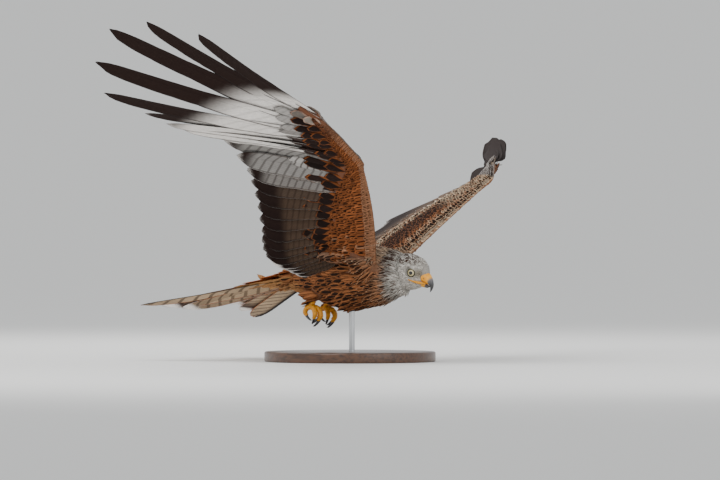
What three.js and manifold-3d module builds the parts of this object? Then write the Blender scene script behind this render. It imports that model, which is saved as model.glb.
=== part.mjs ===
// A life-size red kite in flight, wings raised, on a plain display stand.
// Millimetres, +Z up, +X the way the bird flies, +Y its left.
// The origin is the centre of the stand's underside.
import * as THREE from "three";
import { mergeVertices } from "three/addons/utils/BufferGeometryUtils.js";
import Module from "manifold-3d";

const wasm = await Module();
wasm.setup();

// Driving sizes of the bird
const BIRD_HEIGHT = 134; // the body's reference axis above the floor
const GAP = 0.3; // between nodes that touch
const FEATHER_THICK = 1.1;
const COVERT_THICK = 0.8;
const COVERT_FILL = 0.43; // a covert's half width as a share of the row's spacing
const EYE_RADIUS = 8;
const EYE_SIDE = 15.5; // the eyeball's centre from the head's middle plane
const SHOULDER = { x: 62, y: 40, z: 30 };
const TAIL_ROOT = { x: -112, y: 0, z: 12 };

// Driving sizes of the stand
const BASE_RADIUS = 150;
const BASE_THICK = 18;
const BASE_BEVEL = 3;
const ROD_RADIUS = 5;
const ROD_X = 4;
const ROD_SINK = 16; // how far the rod goes up into the belly
const ROD_FOOT = 10; // how far it goes down into the base

const COLOURS = {
  rufous: 0x9a5228,
  breast: 0x8c5530,
  grey: 0xc9c4bf,
  brown: 0x4a3428,
  tail: 0xa86a3c,
  yellow: 0xe0a020,
  horn: 0x3a3634,
  iris: 0xe8e2c8,
  wood: 0x4b3224,
  steel: 0x9a9da0,
};

// Vector helpers
const vec = (x, y, z) => new THREE.Vector3(x, y, z);
const moved = (p, d, s) => p.clone().addScaledVector(d, s);
const mix = THREE.MathUtils.lerp;
const rad = THREE.MathUtils.degToRad;
const smooth = (t) => THREE.MathUtils.smoothstep(t, 0, 1);

// A direction that fans out sideways from straight back, and rises from level
function heading(fan, rise, side) {
  const [f, r] = [rad(fan), rad(rise)];
  return vec(-Math.cos(f) * Math.cos(r), side * Math.sin(f) * Math.cos(r), Math.sin(r));
}

// A number read from a list at a fractional place
function between(list, place) {
  const i = Math.min(Math.max(Math.floor(place), 0), list.length - 2);
  return mix(list[i], list[i + 1], place - i);
}

// Solids: closed meshes that can be joined and cut
function solidOf(geometry) {
  const bare = geometry.clone();
  bare.deleteAttribute("normal");
  bare.deleteAttribute("uv");
  const merged = mergeVertices(bare, 1e-3);
  return new wasm.Manifold(
    new wasm.Mesh({
      numProp: 3,
      vertProperties: merged.attributes.position.array,
      triVerts: new Uint32Array(merged.index.array),
    }),
  );
}

function geometryOf(solid) {
  const { numProp, numVert, vertProperties, triVerts } = solid.getMesh();
  const points = new Float32Array(numVert * 3);
  for (let i = 0; i < numVert; i++) {
    points.set(vertProperties.subarray(i * numProp, i * numProp + 3), i * 3);
  }
  const geometry = new THREE.BufferGeometry();
  geometry.setAttribute("position", new THREE.BufferAttribute(points, 3));
  geometry.setIndex(new THREE.BufferAttribute(triVerts, 1));
  return geometry;
}

const joined = (solids) => wasm.Manifold.union(solids);

// The largest closed body of a solid, which drops scraps left by a cut
function largest(solid) {
  return solid.decompose().reduce((a, b) => (a.volume() > b.volume() ? a : b));
}

// A closed tube of rings: place(t, angle) gives the skin at t from 0 to 1 along it
function skinned(sides, steps, place, along = (t) => t) {
  const geometry = new THREE.CylinderGeometry(1, 1, 1, sides, steps);
  const p = geometry.attributes.position;
  for (let i = 0; i < p.count; i++) {
    const t = along(0.5 - p.getY(i));
    const angle = Math.atan2(p.getX(i), p.getZ(i));
    const onAxis = Math.hypot(p.getX(i), p.getZ(i)) < 0.5;
    const skin = place(t, angle);
    const point = onAxis ? skin.add(place(t, angle + Math.PI)).multiplyScalar(0.5) : skin;
    p.setXYZ(i, point.x, point.y, point.z);
  }
  const solid = solidOf(geometry);
  return solid.volume() < 0 ? flipped(geometry) : solid;
}

function flipped(geometry) {
  const index = geometry.index.array;
  for (let i = 0; i < index.length; i += 3) {
    [index[i + 1], index[i + 2]] = [index[i + 2], index[i + 1]];
  }
  return solidOf(geometry);
}

// A body of flesh through stations [x, top, bottom, half width], grown outwards by grow
function flesh(stations, sides, steps, grow = 0, squareness = 0.94) {
  const column = (k) => stations.map((s) => s[k]);
  const [xs, tops, bottoms, widths] = [0, 1, 2, 3].map(column);
  return skinned(sides, steps, (t, angle) => {
    const place = t * (stations.length - 1);
    const [top, bottom] = [between(tops, place), between(bottoms, place)];
    const [c, s] = [Math.cos(angle), Math.sin(angle)];
    const round = (v) => Math.sign(v) * Math.abs(v) ** squareness;
    const end = t < 0.001 ? -grow : t > 0.999 ? grow : 0;
    return vec(
      between(xs, place) + end,
      (between(widths, place) + grow) * round(s),
      (top + bottom) / 2 + ((top - bottom) / 2 + grow) * round(c),
    );
  });
}

// A tapered tube along points, with a radius at each
function limb(points, radii, sides, steps, grow = 0) {
  const path = new THREE.CatmullRomCurve3(points);
  const frames = path.computeFrenetFrames(steps, false);
  return skinned(sides, steps, (t, angle) => {
    const k = Math.round(t * steps);
    const r = between(radii, t * (radii.length - 1)) + grow;
    const end = t < 0.001 ? -grow : t > 0.999 ? grow : 0;
    return path
      .getPoint(t)
      .addScaledVector(frames.tangents[k], end)
      .addScaledVector(frames.normals[k], r * Math.cos(angle))
      .addScaledVector(frames.binormals[k], r * Math.sin(angle));
  });
}

// Outlines of feathers: place along it from the quill at 0 to the tip at 1, share of the half width
const PROFILES = {
  finger: [[0, 0.35], [0.2, 0.95], [0.42, 1], [0.58, 0.88], [0.9, 0.76], [1, 0.34]],
  primary: [[0, 0.35], [0.25, 1], [0.7, 0.95], [0.93, 0.72], [1, 0.3]],
  secondary: [[0, 0.4], [0.3, 1], [0.88, 0.98], [1, 0.5]],
  covert: [[0, 0.5], [0.55, 1], [1, 0.4]],
};

// A feather as one thin vane, split into triangles alike on both faces
function vane({ tilt = 0, curl = 0, sweep = 0, flare = 1, outerShare = 0.5, ...f }) {
  const { root, along, up, outer, length, width, profile, thick } = f;
  const across = outer.clone().multiplyScalar(Math.cos(tilt)).addScaledVector(up, Math.sin(tilt));
  const over = new THREE.Vector3().crossVectors(along, across).normalize();
  if (over.dot(up) < 0) over.negate();
  const positions = [];
  for (const [t, share] of profile) {
    const wide = 2 * width * share * mix(1, flare, t);
    const spine = moved(root, along, length * t)
      .addScaledVector(up, curl * length * t * t)
      .addScaledVector(outer, sweep * length * t * t);
    for (const face of [1, -1]) {
      for (const reach of [outerShare - 1, outerShare]) {
        const p = moved(spine, across, wide * reach).addScaledVector(over, (face * thick) / 2);
        positions.push(p.x, p.y, p.z);
      }
    }
  }
  // Corners of a ring: 0 and 1 on the upper face, 2 and 3 below them
  const index = [];
  const quad = (a, b, c, d) => index.push(a, b, c, a, c, d);
  const last = (profile.length - 1) * 4;
  for (let i = 0; i < last; i += 4) {
    quad(i, i + 1, i + 5, i + 4);
    index.push(i + 2, i + 7, i + 3, i + 2, i + 6, i + 7);
    quad(i, i + 4, i + 6, i + 2);
    quad(i + 1, i + 3, i + 7, i + 5);
  }
  quad(0, 2, 3, 1);
  quad(last, last + 1, last + 3, last + 2);
  const geometry = new THREE.BufferGeometry();
  geometry.setAttribute("position", new THREE.BufferAttribute(new Float32Array(positions), 3));
  geometry.setIndex(index);
  const solid = solidOf(geometry);
  return solid.volume() < 0 ? flipped(geometry) : solid;
}

// A box on one side of a plane through a point, used to cut a node clear of its neighbour
function halfSpace(point, normal) {
  const size = 1600;
  const box = new THREE.BoxGeometry(size, size, size).translate(0, 0, size / 2);
  const turn = new THREE.Quaternion().setFromUnitVectors(vec(0, 0, 1), normal.clone().normalize());
  box.applyQuaternion(turn).translate(point.x, point.y, point.z);
  return solidOf(box);
}

// The trunk, from the tail's root to the base of the neck: x, top, bottom, half width
const TORSO = [
  [-146, 22, 2, 12],
  [-122, 32, -10, 25],
  [-92, 43, -20, 36],
  [-58, 53, -30, 47],
  [-24, 60, -40, 55],
  [10, 66, -46, 57],
  [44, 70, -41, 53],
  [72, 69, -36, 44],
  [90, 65, -31, 37],
];
const NECK = [
  [78, 67.5, -32, 41],
  [92, 64.5, -27.5, 35],
  [108, 61, -21, 30],
  [124, 55, -15, 23],
];
const torsoSolid = (grow) => flesh(TORSO, 18, 12, grow);

// The head, in its own frame: the origin midway between the eyes, +X to the bill
const HEAD_PLACE = { x: 142, y: -2, z: 25 };
const HEAD_TURN = rad(-8);
const HEAD_DIP = rad(10);
const HEAD = [
  // x, top, bottom, half width
  [-35, 20, -26, 18],
  [-30, 26, -32, 22],
  [-22, 29, -35, 24],
  [-12, 29.5, -35.5, 24],
  [0, 27.5, -32.5, 21.5],
  [10, 25, -28, 18.5],
  [18, 20.5, -22.5, 14],
  [23.5, 16, -15, 9.5],
  [27, 10, -8, 7],
  [29, 4.5, -4, 4],
];

function inHead(solid) {
  const turn = new THREE.Matrix4()
    .makeRotationFromEuler(new THREE.Euler(0, HEAD_DIP, HEAD_TURN, "ZYX"))
    .setPosition(HEAD_PLACE.x, HEAD_PLACE.y, HEAD_PLACE.z);
  return solid.transform(turn.elements);
}

const eyeCentre = (side) => vec(3, side * EYE_SIDE, -0.5);
const eyeAxis = (side) => vec(0.42, side, -0.05).normalize();
const ball = (centre, radius, across, down) =>
  solidOf(new THREE.SphereGeometry(radius, across, down).translate(centre.x, centre.y, centre.z));

// A rim of skin round each eye
function lids(side) {
  const rim = new THREE.TorusGeometry(7.1, 1.7, 5, 12);
  const turn = new THREE.Quaternion().setFromUnitVectors(vec(0, 0, 1), eyeAxis(side));
  const centre = moved(eyeCentre(side), eyeAxis(side), 5.2);
  rim.applyQuaternion(turn).translate(centre.x, centre.y, centre.z);
  return solidOf(rim);
}

// The ridge of bone that shades the eye
function brow(side) {
  const ridge = [vec(-9, side * 20, 8), vec(2, side * 20.5, 9.5), vec(13, side * 14.5, 6)];
  return limb(ridge, [2, 3.4, 1.6], 6, 4);
}

// The upper bill: a hooked horn behind which the cere carries the nostrils
const BILL = [
  // x, ridge, edge, half width
  [20, 3, -15, 10.5],
  [29, 1.2, -16, 8.5],
  [33, -4.5, -17, 6.6],
  [36.5, -9.5, -18, 5],
  [39.4, -14.5, -19.2, 3.4],
];
const CERE_END = 2 / (BILL.length - 1); // where the cere gives way to horn, as a share of the table
const CERE_GAP = 0.03; // the share left open between them
function bill(from, to, steps, grow = 0) {
  const column = (k) => BILL.map((s) => s[k]);
  const [xs, tops, bottoms, widths] = [0, 1, 2, 3].map(column);
  return skinned(10, steps, (t, angle) => {
    const place = mix(from, to, t) * (BILL.length - 1);
    const [top, bottom] = [between(tops, place), between(bottoms, place)];
    const y = Math.sin(angle) * (between(widths, place) + grow);
    return vec(between(xs, place), y, (top + bottom) / 2 + ((top - bottom) / 2 + grow) * Math.cos(angle));
  });
}
function hook() {
  const path = [vec(36.5, 0, -13), vec(39.2, 0, -18.5), vec(39, 0, -24), vec(36.6, 0, -29.5)];
  return limb(path, [4.3, 3.3, 2.1, 0.6], 8, 6);
}
function lowerBill(grow) {
  const path = [vec(12, 0, -18.5), vec(22, 0, -19.5), vec(29, 0, -20.4), vec(34.5, 0, -20)];
  return limb(path, [4.6, 4.2, 3, 1.2], 8, 5, grow);
}
// The yellow edge of the mouth, back to below the eye
function gape(side) {
  const path = [vec(28, side * 7.5, -15.8), vec(14, side * 13.5, -15.6), vec(-3, side * 20, -13.8)];
  return limb(path, [1.7, 1.9, 1.2], 6, 5);
}
function nostril(side) {
  const hole = new THREE.CylinderGeometry(1.4, 1.4, 6, 8).translate(25.5, side * 7, -7.5);
  return solidOf(hole);
}

// How each wing is held. The arm runs from the shoulder to the wrist, and the hand bone on from there
// to the outer primary. fans and rises turn the primaries, armFans and armRises the feathers of the arm.
const HAND_LENGTH = 140;
const ELBOW = { along: 0.43, back: 58 };
const WING_POSE = {
  right: {
    side: -1,
    arm: [89, -159, 184],
    bow: 8,
    hand: { fan: 80, rise: 40 },
    fans: [15, 17.5, 21, 25, 29, 35, 44.5, 52, 60, 76],
    rises: [12.5, 10.5, 9.4, 9.3, 10.2, 7.2, 13.7, 20.8, 24, 23.8],
    armFans: [1, -1, -1.5, 4, 13.5],
    armRises: [-14.5, -14, -7, 5.5, 14.5],
  },
  left: {
    side: 1,
    arm: [62, 204, 152],
    bow: 0,
    hand: { fan: 63, rise: 13 },
    fans: [31.9, 35.8, 39.5, 43.1, 46.7, 51.7, 55.4, 58.2, 58.5, 58.7],
    rises: [-11.5, -10.7, -9.8, -8.6, -7.2, -8, -3.7, 2.8, 3, 2.4],
    armFans: [-2, 0, 3, 8, 16],
    armRises: [-19, -18, -17, -16, -14],
  },
};
const PRIMARY_LENGTHS = [260, 275, 293, 314, 342, 405, 425, 420, 370, 302];
const FIRST_FINGER = 5; // the outer primaries, from here on, narrow to fingers
const SECONDARIES = 12;
const TERTIALS = 3;
const ARM_FEATHERS = SECONDARIES + TERTIALS;
const ARM_LENGTHS = [100, 125, 150, 162, 166, 172, 184, 200, 246];

// The flight feathers of a wing, from the innermost tertial to the outer primary
function flightFeathers(pose) {
  const shoulder = vec(SHOULDER.x, pose.side * SHOULDER.y, SHOULDER.z);
  const arm = vec(...pose.arm);
  const wrist = shoulder.clone().add(arm);
  const tip = moved(wrist, heading(pose.hand.fan, pose.hand.rise, pose.side), HAND_LENGTH);
  const elbow = moved(moved(shoulder, arm, ELBOW.along), vec(-1, 0, 0), ELBOW.back);
  const inner = shoulder.clone().add(vec(-66, pose.side * 8, 4));
  const ulna = new THREE.CatmullRomCurve3([inner, elbow, moved(wrist, vec(-1, 0, 0), 12)]);
  const feathers = [];
  for (let i = 0; i < ARM_FEATHERS; i++) {
    const t = i / (ARM_FEATHERS - 1);
    const of = (list) => between(list, t * (list.length - 1));
    feathers.push({
      root: ulna.getPoint(0.16 + 0.8 * t),
      along: heading(of(pose.armFans), of(pose.armRises), pose.side),
      length: of(ARM_LENGTHS),
      width: i < TERTIALS ? 22 : 24,
      profile: PROFILES.secondary,
    });
  }
  PRIMARY_LENGTHS.forEach((length, i) => {
    const t = i / (PRIMARY_LENGTHS.length - 1);
    const bone = moved(wrist, vec(-1, 0, 0), 10 * (1 - t));
    feathers.push({
      root: bone.lerp(tip, mix(0.04, 1, t)),
      along: heading(pose.fans[i], pose.rises[i], pose.side),
      length,
      width: mix(24, 19, t),
      profile: i >= FIRST_FINGER ? PROFILES.finger : PROFILES.primary,
    });
  });
  // Each vane lies in the surface that its neighbours' tips and its own root span
  const tips = feathers.map((f) => moved(f.root, f.along, f.length));
  const normals = feathers.map((f, i) => {
    const low = Math.max(i - 1, 0);
    const high = Math.min(i + 1, feathers.length - 1);
    const one = tips[high].clone().sub(f.root);
    return one.cross(tips[low].clone().sub(f.root)).multiplyScalar(pose.side).normalize();
  });
  feathers.forEach((f, i) => {
    const low = normals[Math.max(i - 1, 0)];
    const high = normals[Math.min(i + 1, feathers.length - 1)];
    const up = normals[i].clone().multiplyScalar(2).add(low).add(high).normalize();
    f.up = up.addScaledVector(f.along, -up.dot(f.along)).normalize();
    f.outer = new THREE.Vector3().crossVectors(f.along, f.up).multiplyScalar(pose.side);
  });
  return { feathers, shoulder, elbow, wrist, tip };
}

// Root, direction and upper side at a fractional place among the flight feathers
function placeAt(feathers, place) {
  const i = Math.min(Math.max(Math.floor(place), 0), feathers.length - 2);
  const t = place - i;
  const [a, b] = [feathers[i], feathers[i + 1]];
  const blend = (k) => a[k].clone().lerp(b[k], t);
  return {
    root: blend("root"),
    along: blend("along").normalize(),
    up: blend("up").normalize(),
    outer: blend("outer").normalize(),
    length: mix(a.length, b.length, t),
  };
}

const TILT = rad(8);
function flightVane(f, finger) {
  return vane({
    ...f,
    root: moved(f.root, f.along, -4),
    tilt: TILT,
    curl: finger ? 0.07 : -0.03,
    sweep: finger ? -0.02 : -0.03,
    outerShare: finger ? 0.36 : 0.4,
    thick: FEATHER_THICK,
  });
}

// Tiers of coverts: how many, their reach as a share of the flight feather, how far their roots
// stand ahead of the quills, and how high they lie over them
const COVERTS = {
  greater: { count: 7, reach: 0.5, back: 6, lift: 8 },
  median: { count: 6, reach: 0.3, back: 14, lift: 11 },
  hand: { count: 4, reach: 0.36, back: 6, lift: 8 },
};

// One tier of coverts over or under the flight feathers, each as wide as its share of the row
function covertTier(feathers, { from, to, count, reach, back, lift, under }) {
  const step = (to - from) / (count - 1);
  const lay = (place) => {
    const at = placeAt(feathers, place);
    const root = moved(moved(at.root, at.along, -back), at.up, under ? -lift : lift);
    const length = reach * at.length + back;
    return { ...at, root, length, tip: moved(root, at.along, length) };
  };
  return Array.from({ length: count }, (_, i) => {
    const place = from + i * step;
    const here = lay(place);
    const [one, other] = [lay(place - step / 2), lay(place + step / 2)];
    const spacing = one.root.distanceTo(other.root);
    return vane({
      ...here,
      width: spacing * COVERT_FILL,
      flare: one.tip.distanceTo(other.tip) / spacing,
      profile: PROFILES.covert,
      thick: COVERT_THICK,
    });
  });
}

// The fleshy core that the quills sit in: round in front of them, tapering back over their bases
function wingCore(feathers, { from, to, sections, thick, behind, lead }) {
  return skinned(8, sections, (t, angle) => {
    const at = placeAt(feathers, mix(from, to, t));
    const [c, s] = [Math.cos(angle), Math.sin(angle)];
    const back = -c * behind * at.length;
    const chord = c > 0 ? lead(t, at).multiplyScalar(c) : at.along.multiplyScalar(back);
    const taper = c > 0 ? 1 : 1 + 0.6 * c;
    return at.root.add(chord).addScaledVector(at.up, thick(t) * s * taper);
  });
}

// A wing in two nodes that part at the wrist
function wingNodes(name) {
  const pose = WING_POSE[name];
  const { side } = pose;
  const { feathers, shoulder, elbow, wrist, tip } = flightFeathers(pose);
  const last = ARM_FEATHERS - 1;
  const neckSide = shoulder.clone().add(vec(16, -side * 4, 6));
  const front = wrist.clone().add(vec(10, side * 2, 2));
  const leading = (t, at) => {
    const edge = neckSide.clone().lerp(front, t);
    edge.addScaledVector(vec(1, 0, 0), pose.bow * Math.sin(Math.PI * t));
    return edge.sub(at.root);
  };
  const armThick = (t) => mix(17, 8, smooth(t));
  const armCore = wingCore(feathers, {
    from: 0,
    to: last + 0.6,
    sections: 8,
    thick: armThick,
    behind: 0.14,
    lead: leading,
  });
  const shoulderMass = limb(
    [vec(20, side * 16, 26), shoulder, elbow.clone().lerp(shoulder, 0.45)],
    [20, 21, 15],
    8,
    4,
  );
  const handFront = (t, at) => {
    const ahead = moved(front.clone().lerp(tip, t), at.along, -6);
    return ahead.sub(at.root);
  };
  const handCore = wingCore(feathers, {
    from: last + 0.4,
    to: feathers.length - 1,
    sections: 5,
    thick: (t) => mix(10, 8.5, t),
    behind: 0.1,
    lead: handFront,
  });
  const arm = [armCore, shoulderMass];
  const hand = [handCore];
  feathers.forEach((f, i) => {
    const isHand = i > last;
    (isHand ? hand : arm).push(flightVane(f, i > last + FIRST_FINGER));
  });
  for (const under of [false, true]) {
    const spread = { from: 0.6, to: last - 0.4, under };
    const outer = { from: last + 1.6, to: feathers.length - 2, under };
    arm.push(...covertTier(feathers, { ...spread, ...COVERTS.greater }));
    arm.push(...covertTier(feathers, { ...spread, ...COVERTS.median }));
    hand.push(...covertTier(feathers, { ...outer, ...COVERTS.hand }));
  }
  // The alula, the bird's thumb, lies along the hand's front edge
  const thumb = placeAt(feathers, last + 3);
  hand.push(
    vane({
      ...thumb,
      root: moved(moved(front, tip.clone().sub(front), 0.16), thumb.up, 3),
      along: tip.clone().sub(front).normalize().addScaledVector(thumb.along, 0.25).normalize(),
      outer: thumb.along.clone().negate(),
      length: 95,
      width: 9,
      profile: PROFILES.covert,
      thick: 1.4,
    }),
  );
  // The cut between arm and hand follows the two middle quills and stands across the wing
  const seam = placeAt(feathers, last + 0.5);
  const across = seam.outer;
  const armCut = halfSpace(moved(seam.root, across, -GAP / 2), across);
  const handCut = halfSpace(moved(seam.root, across, GAP / 2), across.clone().negate());
  const body = torsoSolid(GAP).add(neckSolid(GAP));
  return {
    [`wing_${name}_arm`]: joined(arm).subtract(armCut).subtract(body),
    [`wing_${name}_hand`]: joined(hand).subtract(handCut),
  };
}

const neckSolid = (grow) => flesh(NECK, 18, 4, grow);

// The forked tail: a fan of twelve feathers, swung a little to the left
const TAIL_HALF = 6;
const TAIL_SWING = 17.5;
const TAIL_SPREAD = 3.2; // degrees between neighbours
const TAIL_DIP = -12.2;
const TAIL_ROLL = rad(5.3);
const TAIL_LENGTHS = [248, 250, 254, 256, 286, 308];
const TAIL_DROOP = [1, 0, -0.7, -0.7, -0.3, -0.3, 0, 1, 2.1, 2.8, 0.8, 0.7]; // degrees, left to right
const TAIL_FEATHER_WIDTH = 18;
const QUILL_STEP = 3.4; // between neighbours' roots
const RANK_STEP = 0.4; // how far each root lies under the next one inwards
const TAIL_CORE = { from: -26, to: 96, wide: [30, 36], deep: [20, 3], drop: 4 };
const TAIL_COVERTS = { count: 4, spread: 2.6, start: 36, apart: 5, lift: 7, length: 92, width: 16 };

function tailFeathers() {
  const axis = heading(TAIL_SWING, TAIL_DIP, 1);
  const level = new THREE.Vector3().crossVectors(vec(0, 0, 1), axis).normalize(); // to the bird's right
  const turn = new THREE.Matrix4().makeRotationAxis(axis, TAIL_ROLL);
  const right = level.transformDirection(turn);
  const up = new THREE.Vector3().crossVectors(axis, right).normalize();
  const feathers = [];
  for (let i = -TAIL_HALF; i < TAIL_HALF; i++) {
    const place = i + 0.5;
    const fan = rad(place * TAIL_SPREAD);
    const rank = Math.abs(place) - 0.5;
    const side = Math.sign(place);
    const droop = rad(TAIL_DROOP[i + TAIL_HALF]);
    const along = axis.clone().multiplyScalar(Math.cos(fan)).addScaledVector(right, Math.sin(fan));
    along.multiplyScalar(Math.cos(droop)).addScaledVector(up, -Math.sin(droop));
    // The middle pair lies on top, and each one outwards lies under the last
    const root = vec(TAIL_ROOT.x, TAIL_ROOT.y, TAIL_ROOT.z)
      .addScaledVector(right, place * QUILL_STEP)
      .addScaledVector(up, -rank * RANK_STEP);
    const outer = new THREE.Vector3().crossVectors(along, up).normalize();
    if (outer.dot(right) * side < 0) outer.negate();
    const outermost = rank === TAIL_HALF - 1;
    feathers.push({ root, along, up, outer, length: TAIL_LENGTHS[rank], outermost });
  }
  return { feathers, axis, right, up };
}

// The flesh that the tail's quills sit in
function tailCore({ axis, right, up }) {
  const { from, to, wide, deep, drop } = TAIL_CORE;
  const start = vec(TAIL_ROOT.x, TAIL_ROOT.y, TAIL_ROOT.z);
  return skinned(14, 6, (t, angle) => {
    const width = mix(...wide, t) * (1 - 0.35 * t * t);
    const depth = mix(...deep, smooth(t));
    return moved(start, axis, mix(from, to, t))
      .addScaledVector(right, width * Math.sin(angle))
      .addScaledVector(up, depth * Math.cos(angle) - drop * (1 - t));
  });
}

// The coverts over the tail's base, or under it where face is -1
function tailCoverts({ axis, right, up }, face) {
  const { count, spread, start, apart, lift, length, width } = TAIL_COVERTS;
  const quills = moved(vec(TAIL_ROOT.x, TAIL_ROOT.y, TAIL_ROOT.z), axis, start);
  return Array.from({ length: count }, (_, i) => {
    const place = (i - (count - 1) / 2) * spread;
    const fan = rad(place * TAIL_SPREAD);
    const along = axis.clone().multiplyScalar(Math.cos(fan)).addScaledVector(right, Math.sin(fan));
    return vane({
      root: moved(moved(quills, right, place * apart), up, face * lift),
      along: along.addScaledVector(up, -face * 0.03).normalize(),
      up,
      outer: right,
      length,
      width,
      profile: PROFILES.covert,
      curl: face * 0.015,
      thick: COVERT_THICK,
    });
  });
}

function tailNode() {
  const fan = tailFeathers();
  const vanes = fan.feathers.map(({ outermost, ...f }) =>
    vane({
      ...f,
      width: TAIL_FEATHER_WIDTH,
      profile: PROFILES.secondary,
      tilt: rad(-5),
      curl: 0.02,
      sweep: outermost ? 0.05 : 0.01,
      outerShare: 0.36,
      thick: FEATHER_THICK,
    }),
  );
  const coverts = [1, -1].flatMap((face) => tailCoverts(fan, face));
  return joined([tailCore(fan), ...vanes, ...coverts]).subtract(torsoSolid(GAP));
}

// Legs: feathered thigh, bare shank, and a foot with its toes curled
const LEG = {
  right: { side: -1, hip: [-42, -30, -8], knee: [-58, -27, -24], ankle: [-64, -26, -38] },
  left: { side: 1, hip: [-44, 25, -9], knee: [-60, 22, -27], ankle: [-67, 22, -41] },
};
const TOES = [
  // fan in degrees from straight ahead, length
  { fan: -38, length: 27 },
  { fan: 0, length: 34 },
  { fan: 36, length: 29 },
  { fan: 180, length: 22 },
];
const TOE_RADII = [5, 4.6, 4.2, 3.2];

function toePath(leg, toe) {
  const [ax, ay, az] = leg.ankle;
  const out = vec(Math.cos(rad(toe.fan)), leg.side * Math.sin(rad(toe.fan)), 0);
  const at = (reach, drop) => vec(ax, ay, az - drop).addScaledVector(out, reach);
  const l = toe.length;
  const path = [at(-1, 0), at(0.4 * l, 0.1 * l), at(0.6 * l, 0.45 * l), at(0.42 * l, 0.72 * l)];
  return { path, at, l };
}

function legNodes(name) {
  const leg = LEG[name];
  const [hip, knee, ankle] = [leg.hip, leg.knee, leg.ankle].map((p) => vec(...p));
  const thigh = (grow) => limb([hip, hip.clone().lerp(knee, 0.5), knee], [22, 15, 8], 12, 5, grow);
  const shank = (grow) => limb([hip.clone().lerp(knee, 0.8), knee, ankle], [5.2, 5.4, 5.6], 9, 4, grow);
  const nodes = {
    [`thigh_${name}`]: thigh(0).subtract(torsoSolid(GAP)),
    [`shank_${name}`]: shank(0).subtract(thigh(GAP)).subtract(torsoSolid(GAP)),
  };
  const digit = (toe, grow) => limb(toePath(leg, toe).path, TOE_RADII, 6, 3, grow);
  const pad = ball(ankle, 6.4, 8, 6);
  nodes[`foot_${name}`] = joined([pad, ...TOES.map((toe) => digit(toe, 0))]).subtract(shank(GAP));
  TOES.forEach((toe, i) => {
    const { at, l } = toePath(leg, toe);
    const [reach, drop] = [0.34 * l, 0.86 * l];
    const hook = [at(reach, drop), at(reach - 5, drop + 4), at(reach - 8.5, drop + 5)];
    const path = [at(0.5 * l, 0.7 * l), ...hook];
    nodes[`claw_${name}_${i + 1}`] = limb(path, [2.6, 2.4, 1.7, 0.5], 5, 3).subtract(digit(toe, GAP));
  });
  return nodes;
}

// Head nodes, each cut clear of the one before it
function headNodes() {
  const skull = (grow) => flesh(HEAD, 16, 9, grow);
  const horn = bill(CERE_END, 1, 4).add(hook());
  const cere = bill(0, CERE_END - CERE_GAP, 4);
  const lower = lowerBill(0);
  const eyes = (grow) => [-1, 1].map((side) => ball(eyeCentre(side), EYE_RADIUS + grow, 12, 8));
  const lips = [gape(-1), gape(1)];
  const holes = [nostril(-1), nostril(1)];
  const grownBill = joined([bill(0, CERE_END, 4, GAP), bill(CERE_END, 1, 4, GAP), lowerBill(GAP)]);
  const face = joined([skull(0), lids(-1), lids(1), brow(-1), brow(1), ...lips]);
  const head = face.subtract(joined([grownBill, ...eyes(GAP)]));
  const [eyeRight, eyeLeft] = eyes(0);
  const nodes = {
    head,
    cere: cere.subtract(joined(holes)).subtract(lowerBill(GAP)),
    bill_upper: horn.subtract(lowerBill(GAP)),
    bill_lower: lower,
    eye_right: eyeRight,
    eye_left: eyeLeft,
  };
  for (const name of Object.keys(nodes)) nodes[name] = inHead(nodes[name]);
  nodes.neck = neckSolid(0).subtract(inHead(skull(GAP))).subtract(torsoSolid(GAP));
  return nodes;
}

// The stand: a bevelled disc of wood and a steel rod, in the floor's frame
function standBase() {
  const [r, h, b] = [BASE_RADIUS, BASE_THICK, BASE_BEVEL];
  const outline = [[0, 0], [r - 1, 0], [r, 1], [r, h - b], [r - b, h], [0, h]];
  const disc = new THREE.LatheGeometry(outline.map(([x, y]) => new THREE.Vector2(x, y)), 32);
  const solid = solidOf(disc.rotateX(Math.PI / 2));
  return (solid.volume() < 0 ? flipped(disc) : solid).subtract(rod(GAP, 0));
}
const rodFoot = BASE_THICK - ROD_FOOT;
const rodTop = BIRD_HEIGHT - 46 + ROD_SINK;
function rod(grow, lift) {
  const length = rodTop - rodFoot + 2 * grow;
  const bar = new THREE.CylinderGeometry(ROD_RADIUS + grow, ROD_RADIUS + grow, length, 20);
  bar.rotateX(Math.PI / 2).translate(ROD_X, 0, rodFoot - grow + length / 2 + lift);
  return solidOf(bar);
}

// Every node, with its colour
function mesh(name, solid, colour, roughness = 0.8, metalness = 0) {
  const material = new THREE.MeshStandardMaterial({ color: colour, roughness, metalness });
  const made = new THREE.Mesh(geometryOf(largest(solid)), material);
  made.name = name;
  return made;
}

const colourOf = (name) => {
  if (name.startsWith("eye")) return COLOURS.iris;
  if (name.startsWith("claw") || name.startsWith("bill")) return COLOURS.horn;
  if (/^(cere|foot|shank)/.test(name)) return COLOURS.yellow;
  if (name.startsWith("wing")) return COLOURS.brown;
  if (name === "tail") return COLOURS.tail;
  if (name === "head") return COLOURS.grey;
  return COLOURS.rufous;
};

const bird = new THREE.Group();
bird.position.z = BIRD_HEIGHT;
const socket = rod(GAP, -BIRD_HEIGHT);
const nodes = {
  torso: torsoSolid(0).subtract(socket),
  ...headNodes(),
  ...wingNodes("right"),
  ...wingNodes("left"),
  tail: tailNode(),
  ...legNodes("right"),
  ...legNodes("left"),
};
for (const [name, solid] of Object.entries(nodes)) bird.add(mesh(name, solid, colourOf(name)));

const kite = new THREE.Group();
kite.add(bird);
kite.add(mesh("stand_base", standBase(), COLOURS.wood, 0.5));
kite.add(mesh("stand_rod", rod(0, 0), COLOURS.steel, 0.3, 0.9));

export default kite;
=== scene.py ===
"""A life-size red kite in flight on a plain stand: skin, plumage, bare parts and studio."""
import math

import bmesh
import bpy
import numpy as np
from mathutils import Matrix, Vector, kdtree


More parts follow.
